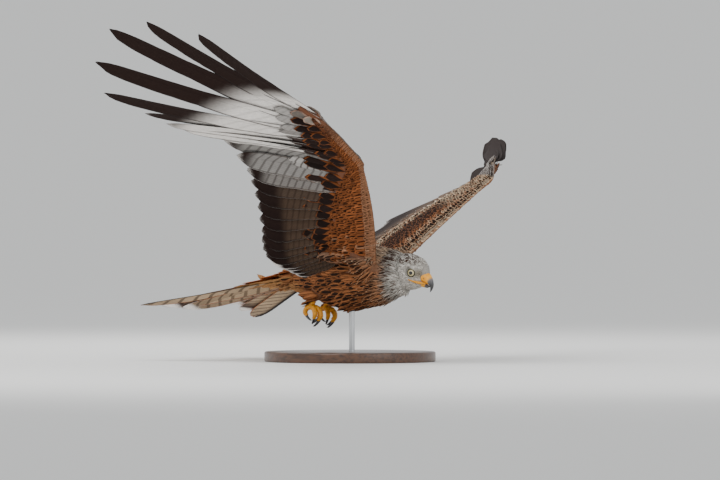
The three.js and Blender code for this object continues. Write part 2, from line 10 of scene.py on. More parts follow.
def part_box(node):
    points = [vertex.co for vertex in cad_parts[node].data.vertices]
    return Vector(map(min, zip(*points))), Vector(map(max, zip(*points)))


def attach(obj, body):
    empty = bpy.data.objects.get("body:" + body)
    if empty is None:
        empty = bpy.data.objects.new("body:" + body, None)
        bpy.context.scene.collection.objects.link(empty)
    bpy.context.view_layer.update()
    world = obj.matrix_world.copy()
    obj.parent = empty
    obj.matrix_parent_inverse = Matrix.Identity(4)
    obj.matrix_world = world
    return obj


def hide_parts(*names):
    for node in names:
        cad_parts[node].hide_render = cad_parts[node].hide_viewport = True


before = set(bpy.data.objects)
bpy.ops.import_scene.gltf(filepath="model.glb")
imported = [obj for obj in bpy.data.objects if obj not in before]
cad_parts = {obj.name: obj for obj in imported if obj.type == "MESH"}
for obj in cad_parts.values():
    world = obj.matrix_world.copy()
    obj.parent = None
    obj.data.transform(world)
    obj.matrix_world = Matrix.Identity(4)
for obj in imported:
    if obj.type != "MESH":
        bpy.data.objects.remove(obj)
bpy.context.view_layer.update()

bl_info = {
    "name": "Red kite in flight",
    "version": (1, 0, 0),
    "blender": (4, 5, 0),
    "location": "3D View > Sidebar > Kite",
    "description": "Builds the plumage, bare parts and stand of a life-size red kite",
    "category": "Object",
}

# The bird's own tables are in millimetres from its reference axis. Meshes are made in metres.
MM = 0.001
ROD_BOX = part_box("stand_rod")
BASE_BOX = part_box("stand_base")
BIRD_HEIGHT = 134
SIDES = {"right": -1, "left": 1}
SHOULDER = np.array([62.0, 40.0, 30.0])
TAIL_ROOT = np.array([-112.0, 0.0, 12.0])
BACKWARDS = np.array([-1.0, 0.0, 0.0])
SEED = 7
rng = np.random.default_rng(SEED)

# Trunk, neck and head: x, top, bottom, half width
TORSO = np.array([
    [-146, 22, 2, 12], [-122, 32, -10, 25], [-92, 43, -20, 36], [-58, 53, -30, 47],
    [-24, 60, -40, 55], [10, 66, -46, 57], [44, 70, -41, 53], [72, 69, -36, 44],
    [90, 65, -31, 37],
])
NECK = np.array([[78, 67.5, -32, 41], [92, 64.5, -27.5, 35], [108, 61, -21, 30], [124, 55, -15, 23]])
HEAD = np.array([
    [-35, 20, -26, 18], [-30, 26, -32, 22], [-22, 29, -35, 24], [-12, 29.5, -35.5, 24],
    [0, 27.5, -32.5, 21.5], [10, 25, -28, 18.5], [18, 20.5, -22.5, 14], [23.5, 16, -15, 9.5],
    [27, 10, -8, 7], [29, 4.5, -4, 4],
])
HEAD_PLACE = np.array([142.0, -2.0, 25.0])
HEAD_TURN = math.radians(-8)
HEAD_DIP = math.radians(10)
EYE_PLACE = np.array([3, 15.5, -0.5])
EYE_CLEARING = 8.6
LID_FORWARD = 5.4
NOSTRIL = np.array([26.2, 8.2, -7.2])
MOUTH_EDGE = np.array([[30, 7.2, -15.9], [22, 10.2, -15.9], [13, 13.8, -15.6], [-1, 18.4, -13.8]])
BILL = np.array([
    [20, 3, -15, 10.5], [29, 1.2, -16, 8.5], [33, -4.5, -17, 6.6], [36.5, -9.5, -18, 5],
    [39.4, -14.5, -19.2, 3.4],
])

# How each wing is held, as in the solids
HAND_LENGTH = 140
ELBOW = {"along": 0.43, "back": 58}
WINGS = {
    "right": {
        "side": -1,
        "arm": [89, -159, 184],
        "bow": 8,
        "hand": (80, 40),
        "fans": [15, 17.5, 21, 25, 29, 35, 44.5, 52, 60, 76],
        "rises": [12.5, 10.5, 9.4, 9.3, 10.2, 7.2, 13.7, 20.8, 24, 23.8],
        "arm_fans": [1, -1, -1.5, 4, 13.5],
        "arm_rises": [-14.5, -14, -7, 5.5, 14.5],
    },
    "left": {
        "side": 1,
        "arm": [62, 204, 152],
        "bow": 0,
        "hand": (63, 13),
        "fans": [31.9, 35.8, 39.5, 43.1, 46.7, 51.7, 55.4, 58.2, 58.5, 58.7],
        "rises": [-11.5, -10.7, -9.8, -8.6, -7.2, -8, -3.7, 2.8, 3, 2.4],
        "arm_fans": [-2, 0, 3, 8, 16],
        "arm_rises": [-19, -18, -17, -16, -14],
    },
}
PRIMARY_LENGTHS = [260, 275, 293, 314, 342, 405, 425, 420, 370, 302]
FIRST_FINGER = 5
ARM_FEATHERS = 15
ARM_LENGTHS = [100, 125, 150, 162, 166, 172, 184, 200, 246]
TAIL_LENGTHS = [248, 250, 254, 256, 286, 308]
TAIL_SWING = 17.5
TAIL_SPREAD = 3.2
TAIL_DIP = -12.2
TAIL_ROLL = math.radians(5.3)
TAIL_FEATHERS = 2 * len(TAIL_LENGTHS)
# Droop and twist of each tail feather in degrees, from the left side to the right
TAIL_DROOP = [1, 0, -0.7, -0.7, -0.3, -0.3, 0, 1, 2.1, 2.8, 0.8, 0.7]
TAIL_TWIST = [-5, -6, -6, -5, -5, -3, 0, 5, 10, 15, 19, 3]
LEGS = {
    "right": {"side": -1, "hip": [-42, -30, -8], "knee": [-58, -27, -24], "ankle": [-64, -26, -38]},
    "left": {"side": 1, "hip": [-44, 25, -9], "knee": [-60, 22, -27], "ankle": [-67, 22, -41]},
}
TOES = [(-38, 27), (0, 34), (36, 29), (180, 22)]

# Outlines of feathers: place along it, share of the half width
OUTLINES = {
    "finger": [
        [0, 0.25], [0.1, 0.7], [0.25, 1], [0.42, 1.05], [0.56, 0.92], [0.75, 0.86], [0.9, 0.74],
        [0.96, 0.54], [1, 0.08],
    ],
    "primary": [[0, 0.25], [0.12, 0.8], [0.3, 1], [0.7, 0.97], [0.88, 0.82], [0.96, 0.55], [1, 0.05]],
    "secondary": [[0, 0.3], [0.12, 0.85], [0.3, 1], [0.74, 1], [0.87, 0.86], [0.95, 0.6], [1, 0.08]],
    "covert": [[0, 0.3], [0.2, 0.85], [0.5, 1], [0.78, 1], [0.91, 0.82], [0.97, 0.56], [1, 0.1]],
    "body": [[0, 0.35], [0.3, 0.9], [0.6, 1], [0.82, 0.8], [1, 0.06]],
    "lance": [[0, 0.4], [0.3, 0.9], [0.55, 0.9], [0.8, 0.55], [1, 0.05]],
}
# Lines of points across a vane, from its inner rim through the shaft to its outer rim
FLIGHT_COLUMNS = (-1, -0.86, -0.6, -0.34, -0.1, 0, 0.14, 0.42, 0.72, 1)
COVERT_COLUMNS = (-1, -0.5, 0, 0.5, 1)
SKIN_SAMPLES = 110000
SKIN_VOXEL = 0.0024
FOOT_VOXEL = 0.0007


def unit(v):
    """Vectors of length one."""
    v = np.asarray(v, float)
    return v / np.maximum(np.linalg.norm(v, axis=-1, keepdims=True), 1e-9)


def smooth(low, high, x):
    """A soft step from 0 at low to 1 at high."""
    t = np.clip((np.asarray(x, float) - low) / (high - low), 0, 1)
    return t * t * (3 - 2 * t)


def blend(a, b, t):
    """Mixes a into b by t, one share for each row."""
    t = np.asarray(t, float)
    a, b = np.asarray(a, float), np.asarray(b, float)
    return a + (b - a) * (t[..., None] if t.ndim else t)


def heading(fan, rise, side):
    """A direction that fans out sideways from straight back and rises from level."""
    f, r = math.radians(fan), math.radians(rise)
    return np.array([-math.cos(f) * math.cos(r), side * math.sin(f) * math.cos(r), math.sin(r)])


def curve_point(points, t):
    """A point on a smooth curve through points."""
    points = np.asarray(points, float)
    place = t * (len(points) - 1)
    i = min(int(place), len(points) - 2)
    w = place - i
    p1, p2 = points[i], points[i + 1]
    p0 = points[i - 1] if i > 0 else 2 * points[0] - points[1]
    p3 = points[i + 2] if i + 2 < len(points) else 2 * points[-1] - points[-2]
    d0, d1, d2 = (max(np.linalg.norm(b - a) ** 0.5, 1e-3) for a, b in ((p0, p1), (p1, p2), (p2, p3)))
    m1 = ((p1 - p0) / d0 - (p2 - p0) / (d0 + d1) + (p2 - p1) / d1) * d1
    m2 = ((p2 - p1) / d1 - (p3 - p1) / (d1 + d2) + (p3 - p2) / d2) * d1
    return p1 + m1 * w + (3 * (p2 - p1) - 2 * m1 - m2) * w**2 + (2 * (p1 - p2) + m1 + m2) * w**3


def table(stations, t):
    """A row read from a table at t from 0 to 1, rounded between its rows."""
    return curve_point(stations, min(max(t, 0.0), 1.0))


HEAD_X = np.array([
    math.cos(HEAD_TURN) * math.cos(HEAD_DIP),
    math.sin(HEAD_TURN) * math.cos(HEAD_DIP),
    -math.sin(HEAD_DIP),
])
HEAD_Y = np.array([-math.sin(HEAD_TURN), math.cos(HEAD_TURN), 0.0])
HEAD_AXES = np.array([HEAD_X, HEAD_Y, np.cross(HEAD_X, HEAD_Y)])


def from_head(points):
    """Points of the head's own frame, in the bird's."""
    return np.asarray(points, float) @ HEAD_AXES + HEAD_PLACE


def to_head(points):
    """Points of the bird's frame, in the head's own."""
    return (np.asarray(points, float) - HEAD_PLACE) @ HEAD_AXES.T


# Meshes
def in_metres(points):
    """The bird's millimetres as metres above the floor."""
    return (np.asarray(points, float) + [0, 0, BIRD_HEIGHT]) * MM


def new_mesh(name, points, faces):
    """An object of triangles or quads from arrays in the bird's millimetres."""
    mesh = bpy.data.meshes.new(name)
    points = in_metres(points)
    faces = np.asarray(faces, np.int32)
    mesh.vertices.add(len(points))
    mesh.vertices.foreach_set("co", points.astype(np.float32).ravel())
    mesh.loops.add(faces.size)
    mesh.loops.foreach_set("vertex_index", faces.ravel())
    mesh.polygons.add(len(faces))
    mesh.polygons.foreach_set("loop_start", np.arange(0, faces.size, faces.shape[1], dtype=np.int32))
    mesh.update(calc_edges=True)
    mesh.validate()
    made = bpy.data.objects.new(name, mesh)
    bpy.context.scene.collection.objects.link(made)
    return made


def tube(name, centre, across, up, half_width, half_height, sides=24):
    """A closed tube of rings, given for each ring its centre, two directions and two radii."""
    angle = np.linspace(0, 2 * math.pi, sides, endpoint=False)
    ring = np.cos(angle)[None, :, None] * across[:, None] * np.asarray(half_width)[:, None, None]
    ring = ring + np.sin(angle)[None, :, None] * up[:, None] * np.asarray(half_height)[:, None, None]
    points = centre[:, None] + ring
    return closed(name, points)


def closed(name, points):
    """A closed piece from rings of points: faces between them, a cap at each end, all outwards."""
    count, sides = points.shape[:2]
    index = np.arange(count * sides).reshape(count, sides)
    a, b = index[:-1], index[1:]
    quads = np.stack([a, np.roll(a, -1, 1), np.roll(b, -1, 1), b], -1).reshape(-1, 4)
    made = new_mesh(name, points.reshape(-1, 3), quads)
    work = bmesh.new()
    work.from_mesh(made.data)
    bmesh.ops.holes_fill(work, edges=work.edges, sides=0)
    bmesh.ops.recalc_face_normals(work, faces=work.faces)
    work.to_mesh(made.data)
    work.free()
    return made


def limb(name, points, radii, sides=20, rings=24):
    """A tapered tube along a smooth curve."""
    t = np.linspace(0, 1, rings)
    path = np.array([curve_point(points, x) for x in t])
    radius = np.array([np.interp(x, np.linspace(0, 1, len(radii)), radii) for x in t])
    ahead = unit(np.gradient(path, axis=0))
    across = unit(np.cross(ahead, [0.0, 0.0, 1.0]))
    return tube(name, path, across, np.cross(across, ahead), radius, radius, sides)


def loft(name, stations, shrink, rings=40, sides=40, head=False):
    """A body of flesh through stations, drawn in by the coat's depth."""
    rows = np.array([table(stations, t) for t in np.linspace(0, 1, rings)])
    ends = np.linspace(-1, 1, rings)
    centre = np.stack([rows[:, 0] - shrink * ends**9, rows[:, 0] * 0, (rows[:, 1] + rows[:, 2]) / 2], -1)
    high = (rows[:, 1] - rows[:, 2]) / 2 - shrink
    across = np.tile([0.0, 1.0, 0.0], (rings, 1))
    up = np.tile([0.0, 0.0, 1.0], (rings, 1))
    if head:
        centre = from_head(centre)
        across = across @ HEAD_AXES
        up = up @ HEAD_AXES
    return tube(name, centre, across, up, np.maximum(rows[:, 3] - shrink, 1), np.maximum(high, 1), sides)


def only(piece):
    """Selects one piece and nothing else."""
    bpy.ops.object.select_all(action="DESELECT")
    piece.select_set(True)
    bpy.context.view_layer.objects.active = piece


def join(pieces, name):
    """Joins pieces into the first one."""
    only(pieces[0])
    for piece in pieces:
        piece.select_set(True)
    bpy.ops.object.join()
    pieces[0].name = name
    pieces[0].data.name = name
    return pieces[0]


def finish_with(piece, kind, **settings):
    """Adds a modifier and applies it."""
    only(piece)
    modifier = piece.modifiers.new(kind.title(), kind)
    for key, value in settings.items():
        setattr(modifier, key, value)
    bpy.ops.object.modifier_apply(modifier=modifier.name)


def dress(piece, material, slot, *nodes):
    """Gives a piece its finish, its body and the solids it stands for."""
    piece.data.materials.clear()
    piece.data.materials.append(material)
    piece.data.shade_smooth()
    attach(piece, "root")
    if nodes:
        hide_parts(*nodes)
    return piece


def give(mesh, name, values, kind):
    """Stores values on the points of a mesh."""
    attribute = mesh.attributes.new(name, kind, "POINT")
    field = {"FLOAT": "value", "FLOAT_COLOR": "color", "FLOAT_VECTOR": "vector"}[kind]
    attribute.data.foreach_set(field, np.ascontiguousarray(values, np.float32).ravel())


def give_uv(mesh, name, values):
    """Stores a flat map from values on the points of a mesh."""
    corner = np.empty(len(mesh.loops), np.int32)
    mesh.loops.foreach_get("vertex_index", corner)
    layer = mesh.uv_layers.new(name=name)
    layer.uv.foreach_set("vector", np.ascontiguousarray(values[corner], np.float32).ravel())


# Wings: where each flight feather is rooted and how it lies
def read(values, place):
    """Rows of a list read at fractional places, from 0 at its first to 1 at its last."""
    values = np.asarray(values, float)
    return np.interp(place, np.linspace(0, 1, len(values)), values)


def wing_frame(name):
    """The quills of a wing, from the innermost tertial to the outer primary, as arrays."""
    pose = WINGS[name]
    side = pose["side"]
    shoulder = SHOULDER * [1, side, 1]
    arm = np.array(pose["arm"], float)
    wrist = shoulder + arm
    tip = wrist + heading(*pose["hand"], side) * HAND_LENGTH
    elbow = shoulder + arm * ELBOW["along"] + BACKWARDS * ELBOW["back"]
    ulna = [shoulder + [-66, side * 8, 4], elbow, wrist + BACKWARDS * 12]
    roots, along = [], []
    for i in range(ARM_FEATHERS):
        t = i / (ARM_FEATHERS - 1)
        roots.append(curve_point(ulna, 0.16 + 0.8 * t))
        along.append(heading(read(pose["arm_fans"], t), read(pose["arm_rises"], t), side))
    for i in range(len(PRIMARY_LENGTHS)):
        t = i / (len(PRIMARY_LENGTHS) - 1)
        bone = wrist + BACKWARDS * 10 * (1 - t)
        roots.append(bone + (tip - bone) * (0.04 + 0.96 * t))
        along.append(heading(pose["fans"][i], pose["rises"][i], side))
    roots, along = np.array(roots), np.array(along)
    arm_lengths = read(ARM_LENGTHS, np.linspace(0, 1, ARM_FEATHERS))
    length = np.concatenate([arm_lengths, PRIMARY_LENGTHS])
    tips = roots + along * length[:, None]
    low = np.maximum(np.arange(len(roots)) - 1, 0)
    high = np.minimum(np.arange(len(roots)) + 1, len(roots) - 1)
    normal = unit(np.cross(tips[high] - roots, tips[low] - roots) * side)
    up = unit(normal * 2 + normal[low] + normal[high])
    up = unit(up - along * (up * along).sum(1, keepdims=True))
    return {
        "name": name, "side": side, "root": roots, "along": along, "up": up, "length": length,
        "outer": np.cross(along, up) * side, "shoulder": shoulder, "elbow": elbow, "wrist": wrist,
        "tip": tip, "front": wrist + [10, side * 2, 2], "neck_side": shoulder + [16, -side * 4, 6],
        "bow": pose["bow"],
    }


def wing_at(wing, place):
    """Root, lie, upper side and length at fractional places along the row of quills."""
    count = np.arange(len(wing["root"]))
    place = np.asarray(place, float)
    found = {}
    for key in ("root", "along", "up", "outer"):
        found[key] = np.stack([np.interp(place, count, wing[key][:, k]) for k in range(3)], -1)
        if key != "root":
            found[key] = unit(found[key])
    found["length"] = np.interp(place, count, wing["length"])
    return found


def leading_edge(wing, place):
    """The wing's front edge beside each quill."""
    last = ARM_FEATHERS - 1
    t = np.clip(np.asarray(place, float) / (last + 0.6), 0, 1)
    hand = np.clip((np.asarray(place, float) - last - 0.4) / (len(wing["root"]) - 1 - last - 0.4), 0, 1)
    arm_edge = blend(wing["neck_side"], wing["front"], t)
    arm_edge = arm_edge + np.array([1.0, 0, 0]) * (wing["bow"] * np.sin(math.pi * t))[..., None]
    hand_edge = blend(wing["front"], wing["tip"], hand) - wing_at(wing, place)["along"] * 6
    return blend(arm_edge, hand_edge, smooth(last - 0.6, last + 1.4, place))


def core_depth(place):
    """Half the thickness of the wing's flesh beside each quill."""
    arm = 17 - 9 * smooth(0, ARM_FEATHERS - 0.4, place)
    hand = 10 - 1.5 * (np.asarray(place, float) - ARM_FEATHERS) / len(PRIMARY_LENGTHS)
    return blend(arm[..., None], hand[..., None], smooth(13, 16, place))[..., 0]


def wing_skin(wing, place, chord, face):
    """A point of the wing's surface: chord is -1 at the front edge, 0 at the quills and 1 at the tips."""
    at = wing_at(wing, place)
    lead = leading_edge(wing, place) - at["root"]
    ahead = np.clip(-chord, 0, 1)
    behind = np.clip(chord, 0, None)
    round_front = np.sqrt(np.maximum(1 - ahead**2, 0))
    depth = (core_depth(place) - 2.5) * round_front * np.exp(-((behind / 0.12) ** 2)) + 1.2 * round_front
    droop = -0.03 * at["length"] * behind**2
    point = at["root"] + lead * ahead[..., None] + at["along"] * (behind * at["length"])[..., None]
    return point + at["up"] * (face * depth + droop)[..., None]


def wing_core(wing, start, end, rings=26, sides=20):
    """The flesh of a wing that the quills sit in."""
    place = np.linspace(start, end, rings)
    turn = np.linspace(0, 2 * math.pi, sides, endpoint=False)
    grid_place, grid_turn = np.meshgrid(place, turn, indexing="ij")
    chord = -np.cos(grid_turn)
    face = np.sign(np.sin(grid_turn) + 1e-9)
    shallow = np.where(chord > 0, chord * 0.13, chord * 0.985)
    points = wing_skin(wing, grid_place, shallow, face)
    centre = wing_skin(wing, grid_place, shallow, 0 * face)
    points = blend(centre, points, np.where(chord > 0, 1 - 0.5 * chord**2, 1.0))
    return closed("core_" + wing["name"], points)


# The tail: a fan of twelve feathers, swung a little to the left
def tail_frame():
    """The tail's quills as arrays, with the fan's own axes."""
    axis = heading(TAIL_SWING, TAIL_DIP, 1)
    level = unit(np.cross([0, 0, 1], axis))
    cos, sin = math.cos(TAIL_ROLL), math.sin(TAIL_ROLL)
    right = level * cos + np.cross(axis, level) * sin + axis * (axis @ level) * (1 - cos)
    up = unit(np.cross(axis, right))
    place = np.arange(TAIL_FEATHERS) - TAIL_FEATHERS / 2 + 0.5
    fan = np.radians(place * TAIL_SPREAD)
    rank = np.abs(place) - 0.5
    droop = np.radians(TAIL_DROOP)[:, None]
    along = axis * np.cos(fan)[:, None] + right * np.sin(fan)[:, None]
    along = along * np.cos(droop) - up * np.sin(droop)
    root = TAIL_ROOT + right * (place * 3.4)[:, None] - up * (rank * 0.8)[:, None]
    outer = unit(np.cross(along, up))
    outer *= np.sign((outer @ right) * np.sign(place))[:, None]
    length = np.array(TAIL_LENGTHS)[rank.astype(int)]
    return {
        "root": root, "along": along, "up": np.tile(up, (TAIL_FEATHERS, 1)), "outer": outer,
        "length": length, "rank": rank, "axis": axis, "right": right, "normal": up,
    }


# Feathers: many closed vanes in one mesh
def outline_share(outline, v):
    """A feather's half width at v, with the corners of its outline rounded off."""
    fine = np.linspace(0, 1, 201)
    knots = np.array(OUTLINES[outline])
    share = np.interp(fine, knots[:, 0], knots[:, 1])
    padded = np.concatenate([np.full(6, share[0]), share, np.full(6, share[-1])])
    soft = np.convolve(padded, np.hanning(15)[1:-1] / np.hanning(15)[1:-1].sum(), "valid")
    soft = blend(soft[:, None], share[:, None], smooth(0.95, 1, fine))[:, 0]
    return np.interp(v, fine, soft)


def vane_faces(rows, columns):
    """Faces of one closed vane: an upper sheet, and a lower one that shares its rim."""
    upper = np.arange((rows + 1) * (columns + 1)).reshape(rows + 1, columns + 1)
    lower = upper.copy()
    inside = (rows - 1) * (columns - 1)
    lower[1:-1, 1:-1] = upper.size + np.arange(inside).reshape(rows - 1, columns - 1)
    top = np.stack([upper[:-1, :-1], upper[:-1, 1:], upper[1:, 1:], upper[1:, :-1]], -1).reshape(-1, 4)
    low = np.stack([lower[:-1, :-1], lower[1:, :-1], lower[1:, 1:], lower[:-1, 1:]], -1).reshape(-1, 4)
    return np.concatenate([top, low]), upper.size + inside


def full(value, count):
    """A number, or one for each feather, as a column."""
    return np.broadcast_to(np.asarray(value, float), (count,))[:, None]


def feathers(name, lay, outline, rows=5, across=(-1, 0, 1), **form):
    """Makes a coat piece of many feathers.

    lay has, for each feather, its root, along, up, length and width (half the vane), and may have
    outer, the side that u = 1 is on. form may give curl, sweep, cup, twist, slant, thick, shaft,
    outer_share, ragged and pitch. Returns the object and the place of each point on its vane.
    """
    count = len(lay["root"])
    along, up = unit(lay["along"]), unit(lay["up"])
    side = unit(lay["outer"] if "outer" in lay else np.cross(along, up))
    handed = np.sign((np.cross(side, along) * up).sum(1, keepdims=True))
    up = unit(np.cross(side, along) * handed)
    pitch = full(form.get("pitch", 0), count)
    along, up = along * np.cos(pitch) + up * np.sin(pitch), up * np.cos(pitch) - along * np.sin(pitch)
    v_line = np.linspace(0, 1, rows + 1) ** 0.85
    u, v = (g.ravel() for g in np.meshgrid(across, v_line))
    length = full(lay["length"], count)
    width = full(lay["width"], count)
    share = np.tile(outline_share(outline, v), (count, 1))
    split = full(form.get("outer_share", 0.5), count)
    reach = 2 * u * np.where(u > 0, split, 1 - split)
    ragged = form.get("ragged", 0)
    if ragged:
        notch = rng.random((count, len(u))) ** 6 * ragged
        share = share * np.where(np.abs(u) > 0.99, 1 - notch, 1)
        length = length * (1 + (rng.random((count, len(u))) - 0.5) * ragged * 0.3 * (v > 0.9))
    sideways = reach * share * width
    curl = full(form.get("curl", 0), count)
    sweep = full(form.get("sweep", 0), count)
    cup = full(form.get("cup", 0.15), count)
    twist = full(form.get("twist", 0), count)
    lift = curl * length * v**2 - cup * width * share * np.abs(u) ** 2 + np.tan(twist) * sideways
    ahead = length * v - 0.35 * np.abs(u) * width * share * form.get("slant", 0.6) * v
    drift = sweep * length * v**2
    spine = lay["root"][:, None] + along[:, None] * ahead[..., None]
    points = spine + side[:, None] * (sideways + drift)[..., None] + up[:, None] * lift[..., None]
    thick = full(form.get("thick", 0.35), count) * (1 - 0.6 * v) * (1 - np.abs(u))
    thick = thick + form.get("shaft", 0) * (np.abs(u) < 0.01) * (1 - v) ** 0.8
    inner = (np.abs(u) < 0.999) & (v > 0) & (v < 1)
    over = points + up[:, None] * (thick / 2)[..., None]
    under = (points - up[:, None] * (thick / 2)[..., None])[:, inner]
    one, per = vane_faces(rows, len(across) - 1)
    faces = one[None] + (np.arange(count) * per)[:, None, None]
    faces[handed[:, 0] < 0] = faces[handed[:, 0] < 0][:, :, ::-1]
    made = new_mesh(name, np.concatenate([over, under], 1).reshape(-1, 3), faces.reshape(-1, 4))
    where = {
        "u": np.tile(np.concatenate([u, u[inner]]), count),
        "v": np.tile(np.concatenate([v, v[inner]]), count),
        "sheet": np.tile(np.concatenate([np.ones(len(u)), -np.ones(inner.sum())]), count),
        "feather": np.repeat(np.arange(count), per),
    }
    return made, where


def strips(count, low):
    """Lower corners of patches that stand side by side across the flat map."""
    return np.stack([np.arange(count) / count, np.full(count, low)], -1)


def paint(piece, where, marks, place, patch=0.003):
    """Gives each feather its colours and markings, and its patch on the unwrapped skin."""
    mesh = piece.data
    count = where["feather"].max() + 1
    feather = where["feather"]

    def spread(value, size):
        value = np.asarray(value, float)
        if value.ndim and len(value) == len(feather):
            return value
        value = np.broadcast_to(value, (count, size)) if size > 1 else np.broadcast_to(value, (count,))
        return value[feather]

    for key in ("ground", "mark", "fringe"):
        colour = np.ones((len(feather), 4))
        colour[:, :3] = spread(marks[key], 3)
        give(mesh, key, colour, "FLOAT_COLOR")
    tone = marks.get("tone", rng.normal(1, 0.07, count))
    vane = np.stack([where["u"], where["v"], spread(tone, 1)], -1)
    pattern = np.stack([spread(marks.get(k, 0), 1) for k in ("streak", "edge", "bars")], -1)
    rhythm = np.stack([spread(marks.get(k, d), 1) for k, d in (("rate", 8), ("tip", 0), ("phase", 0))], -1)
    give(mesh, "vane", vane, "FLOAT_VECTOR")
    give(mesh, "pattern", pattern, "FLOAT_VECTOR")
    give(mesh, "rhythm", rhythm, "FLOAT_VECTOR")
    patch = np.broadcast_to(patch, (count, 2))[feather]
    corner = np.asarray(place, float)[feather]
    inside = np.stack([where["u"] * 0.5 + 0.5, where["v"]], -1)
    give_uv(mesh, "OFBake", corner + inside * patch)


# Materials
def srgb(*colour):
    """A colour as it is seen on a screen, from 0 to 255, as the light it reflects."""
    c = np.array(colour, float) / 255
    return np.where(c <= 0.04045, c / 12.92, ((c + 0.055) / 1.055) ** 2.4)


def made_once(make):
    """Makes a material when it is first asked for, and finds it by its name after that."""
    made = {}

    def ask():
        if made.get("name") not in bpy.data.materials.keys():
            made["name"] = make().name
        return bpy.data.materials[made["name"]]

    return ask


class Nodes:
    """Short names for adding nodes to a material."""

    def __init__(self, name):
        self.material = bpy.data.materials.new(name)
        self.material.use_nodes = True
        self.tree = self.material.node_tree
        self.shader = self.tree.nodes["Principled BSDF"]

    def add(self, kind, inputs=(), **settings):
        """A node with its inputs set or linked."""
        node = self.tree.nodes.new("ShaderNode" + kind)
        for key, value in settings.items():
            setattr(node, key, value)
        for key, value in dict(inputs).items():
            self.set(node.inputs[key], value)
        return node

    def set(self, socket, value):
        """Links another node's output to a socket, or sets the socket's own value."""
        if isinstance(value, bpy.types.NodeSocket):
            self.tree.links.new(value, socket)
        elif hasattr(value, "__len__") and len(value) == 3 and len(socket.default_value) == 4:
            socket.default_value = (*value, 1)
        else:
            socket.default_value = value

    def math(self, kind, a, b=0.0, c=0.0):
        """A sum, product or other measure of up to three values."""
        return self.add("Math", {0: a, 1: b, 2: c}, operation=kind).outputs[0]

    def mix(self, a, b, share, kind="MIX"):
        """Colour a with its share of colour b."""
        node = self.add("Mix", {0: share, 6: a, 7: b}, data_type="RGBA", blend_type=kind)
        return node.outputs[2]

    def step(self, value, low, high, out_low=0.0, out_high=1.0):
        """A soft step between two values."""
        inputs = {0: value, 1: low, 2: high, 3: out_low, 4: out_high}
        return self.add("MapRange", inputs, interpolation_type="SMOOTHSTEP").outputs[0]

    def noise(self, scale, detail=3.0, rough=0.5, vector=None):
        """Noise at a scale, fixed to the piece."""
        inputs = {"Scale": scale, "Detail": detail, "Roughness": rough}
        inputs["Vector"] = vector if vector is not None else self.object()
        return self.add("TexNoise", inputs).outputs["Fac"]

    def object(self):
        """The piece's own coordinates."""
        return self.add("TexCoord").outputs["Object"]

    def attribute(self, name):
        """A value stored on the mesh."""
        return self.add("Attribute", attribute_name=name)

    def bump(self, height, strength, distance):
        """A normal that follows a height."""
        inputs = {"Height": height, "Strength": strength, "Distance": distance}
        return self.add("Bump", inputs).outputs[0]

    def finish(self, colour, roughness, normal=None, **constants):
        """Sets the shader and gives the material."""
        self.set(self.shader.inputs["Base Color"], colour)
        self.set(self.shader.inputs["Roughness"], roughness)
        if normal is not None:
            self.set(self.shader.inputs["Normal"], normal)
        for key, value in constants.items():
            self.set(self.shader.inputs[key.replace("_", " ")], value)
        return self.material


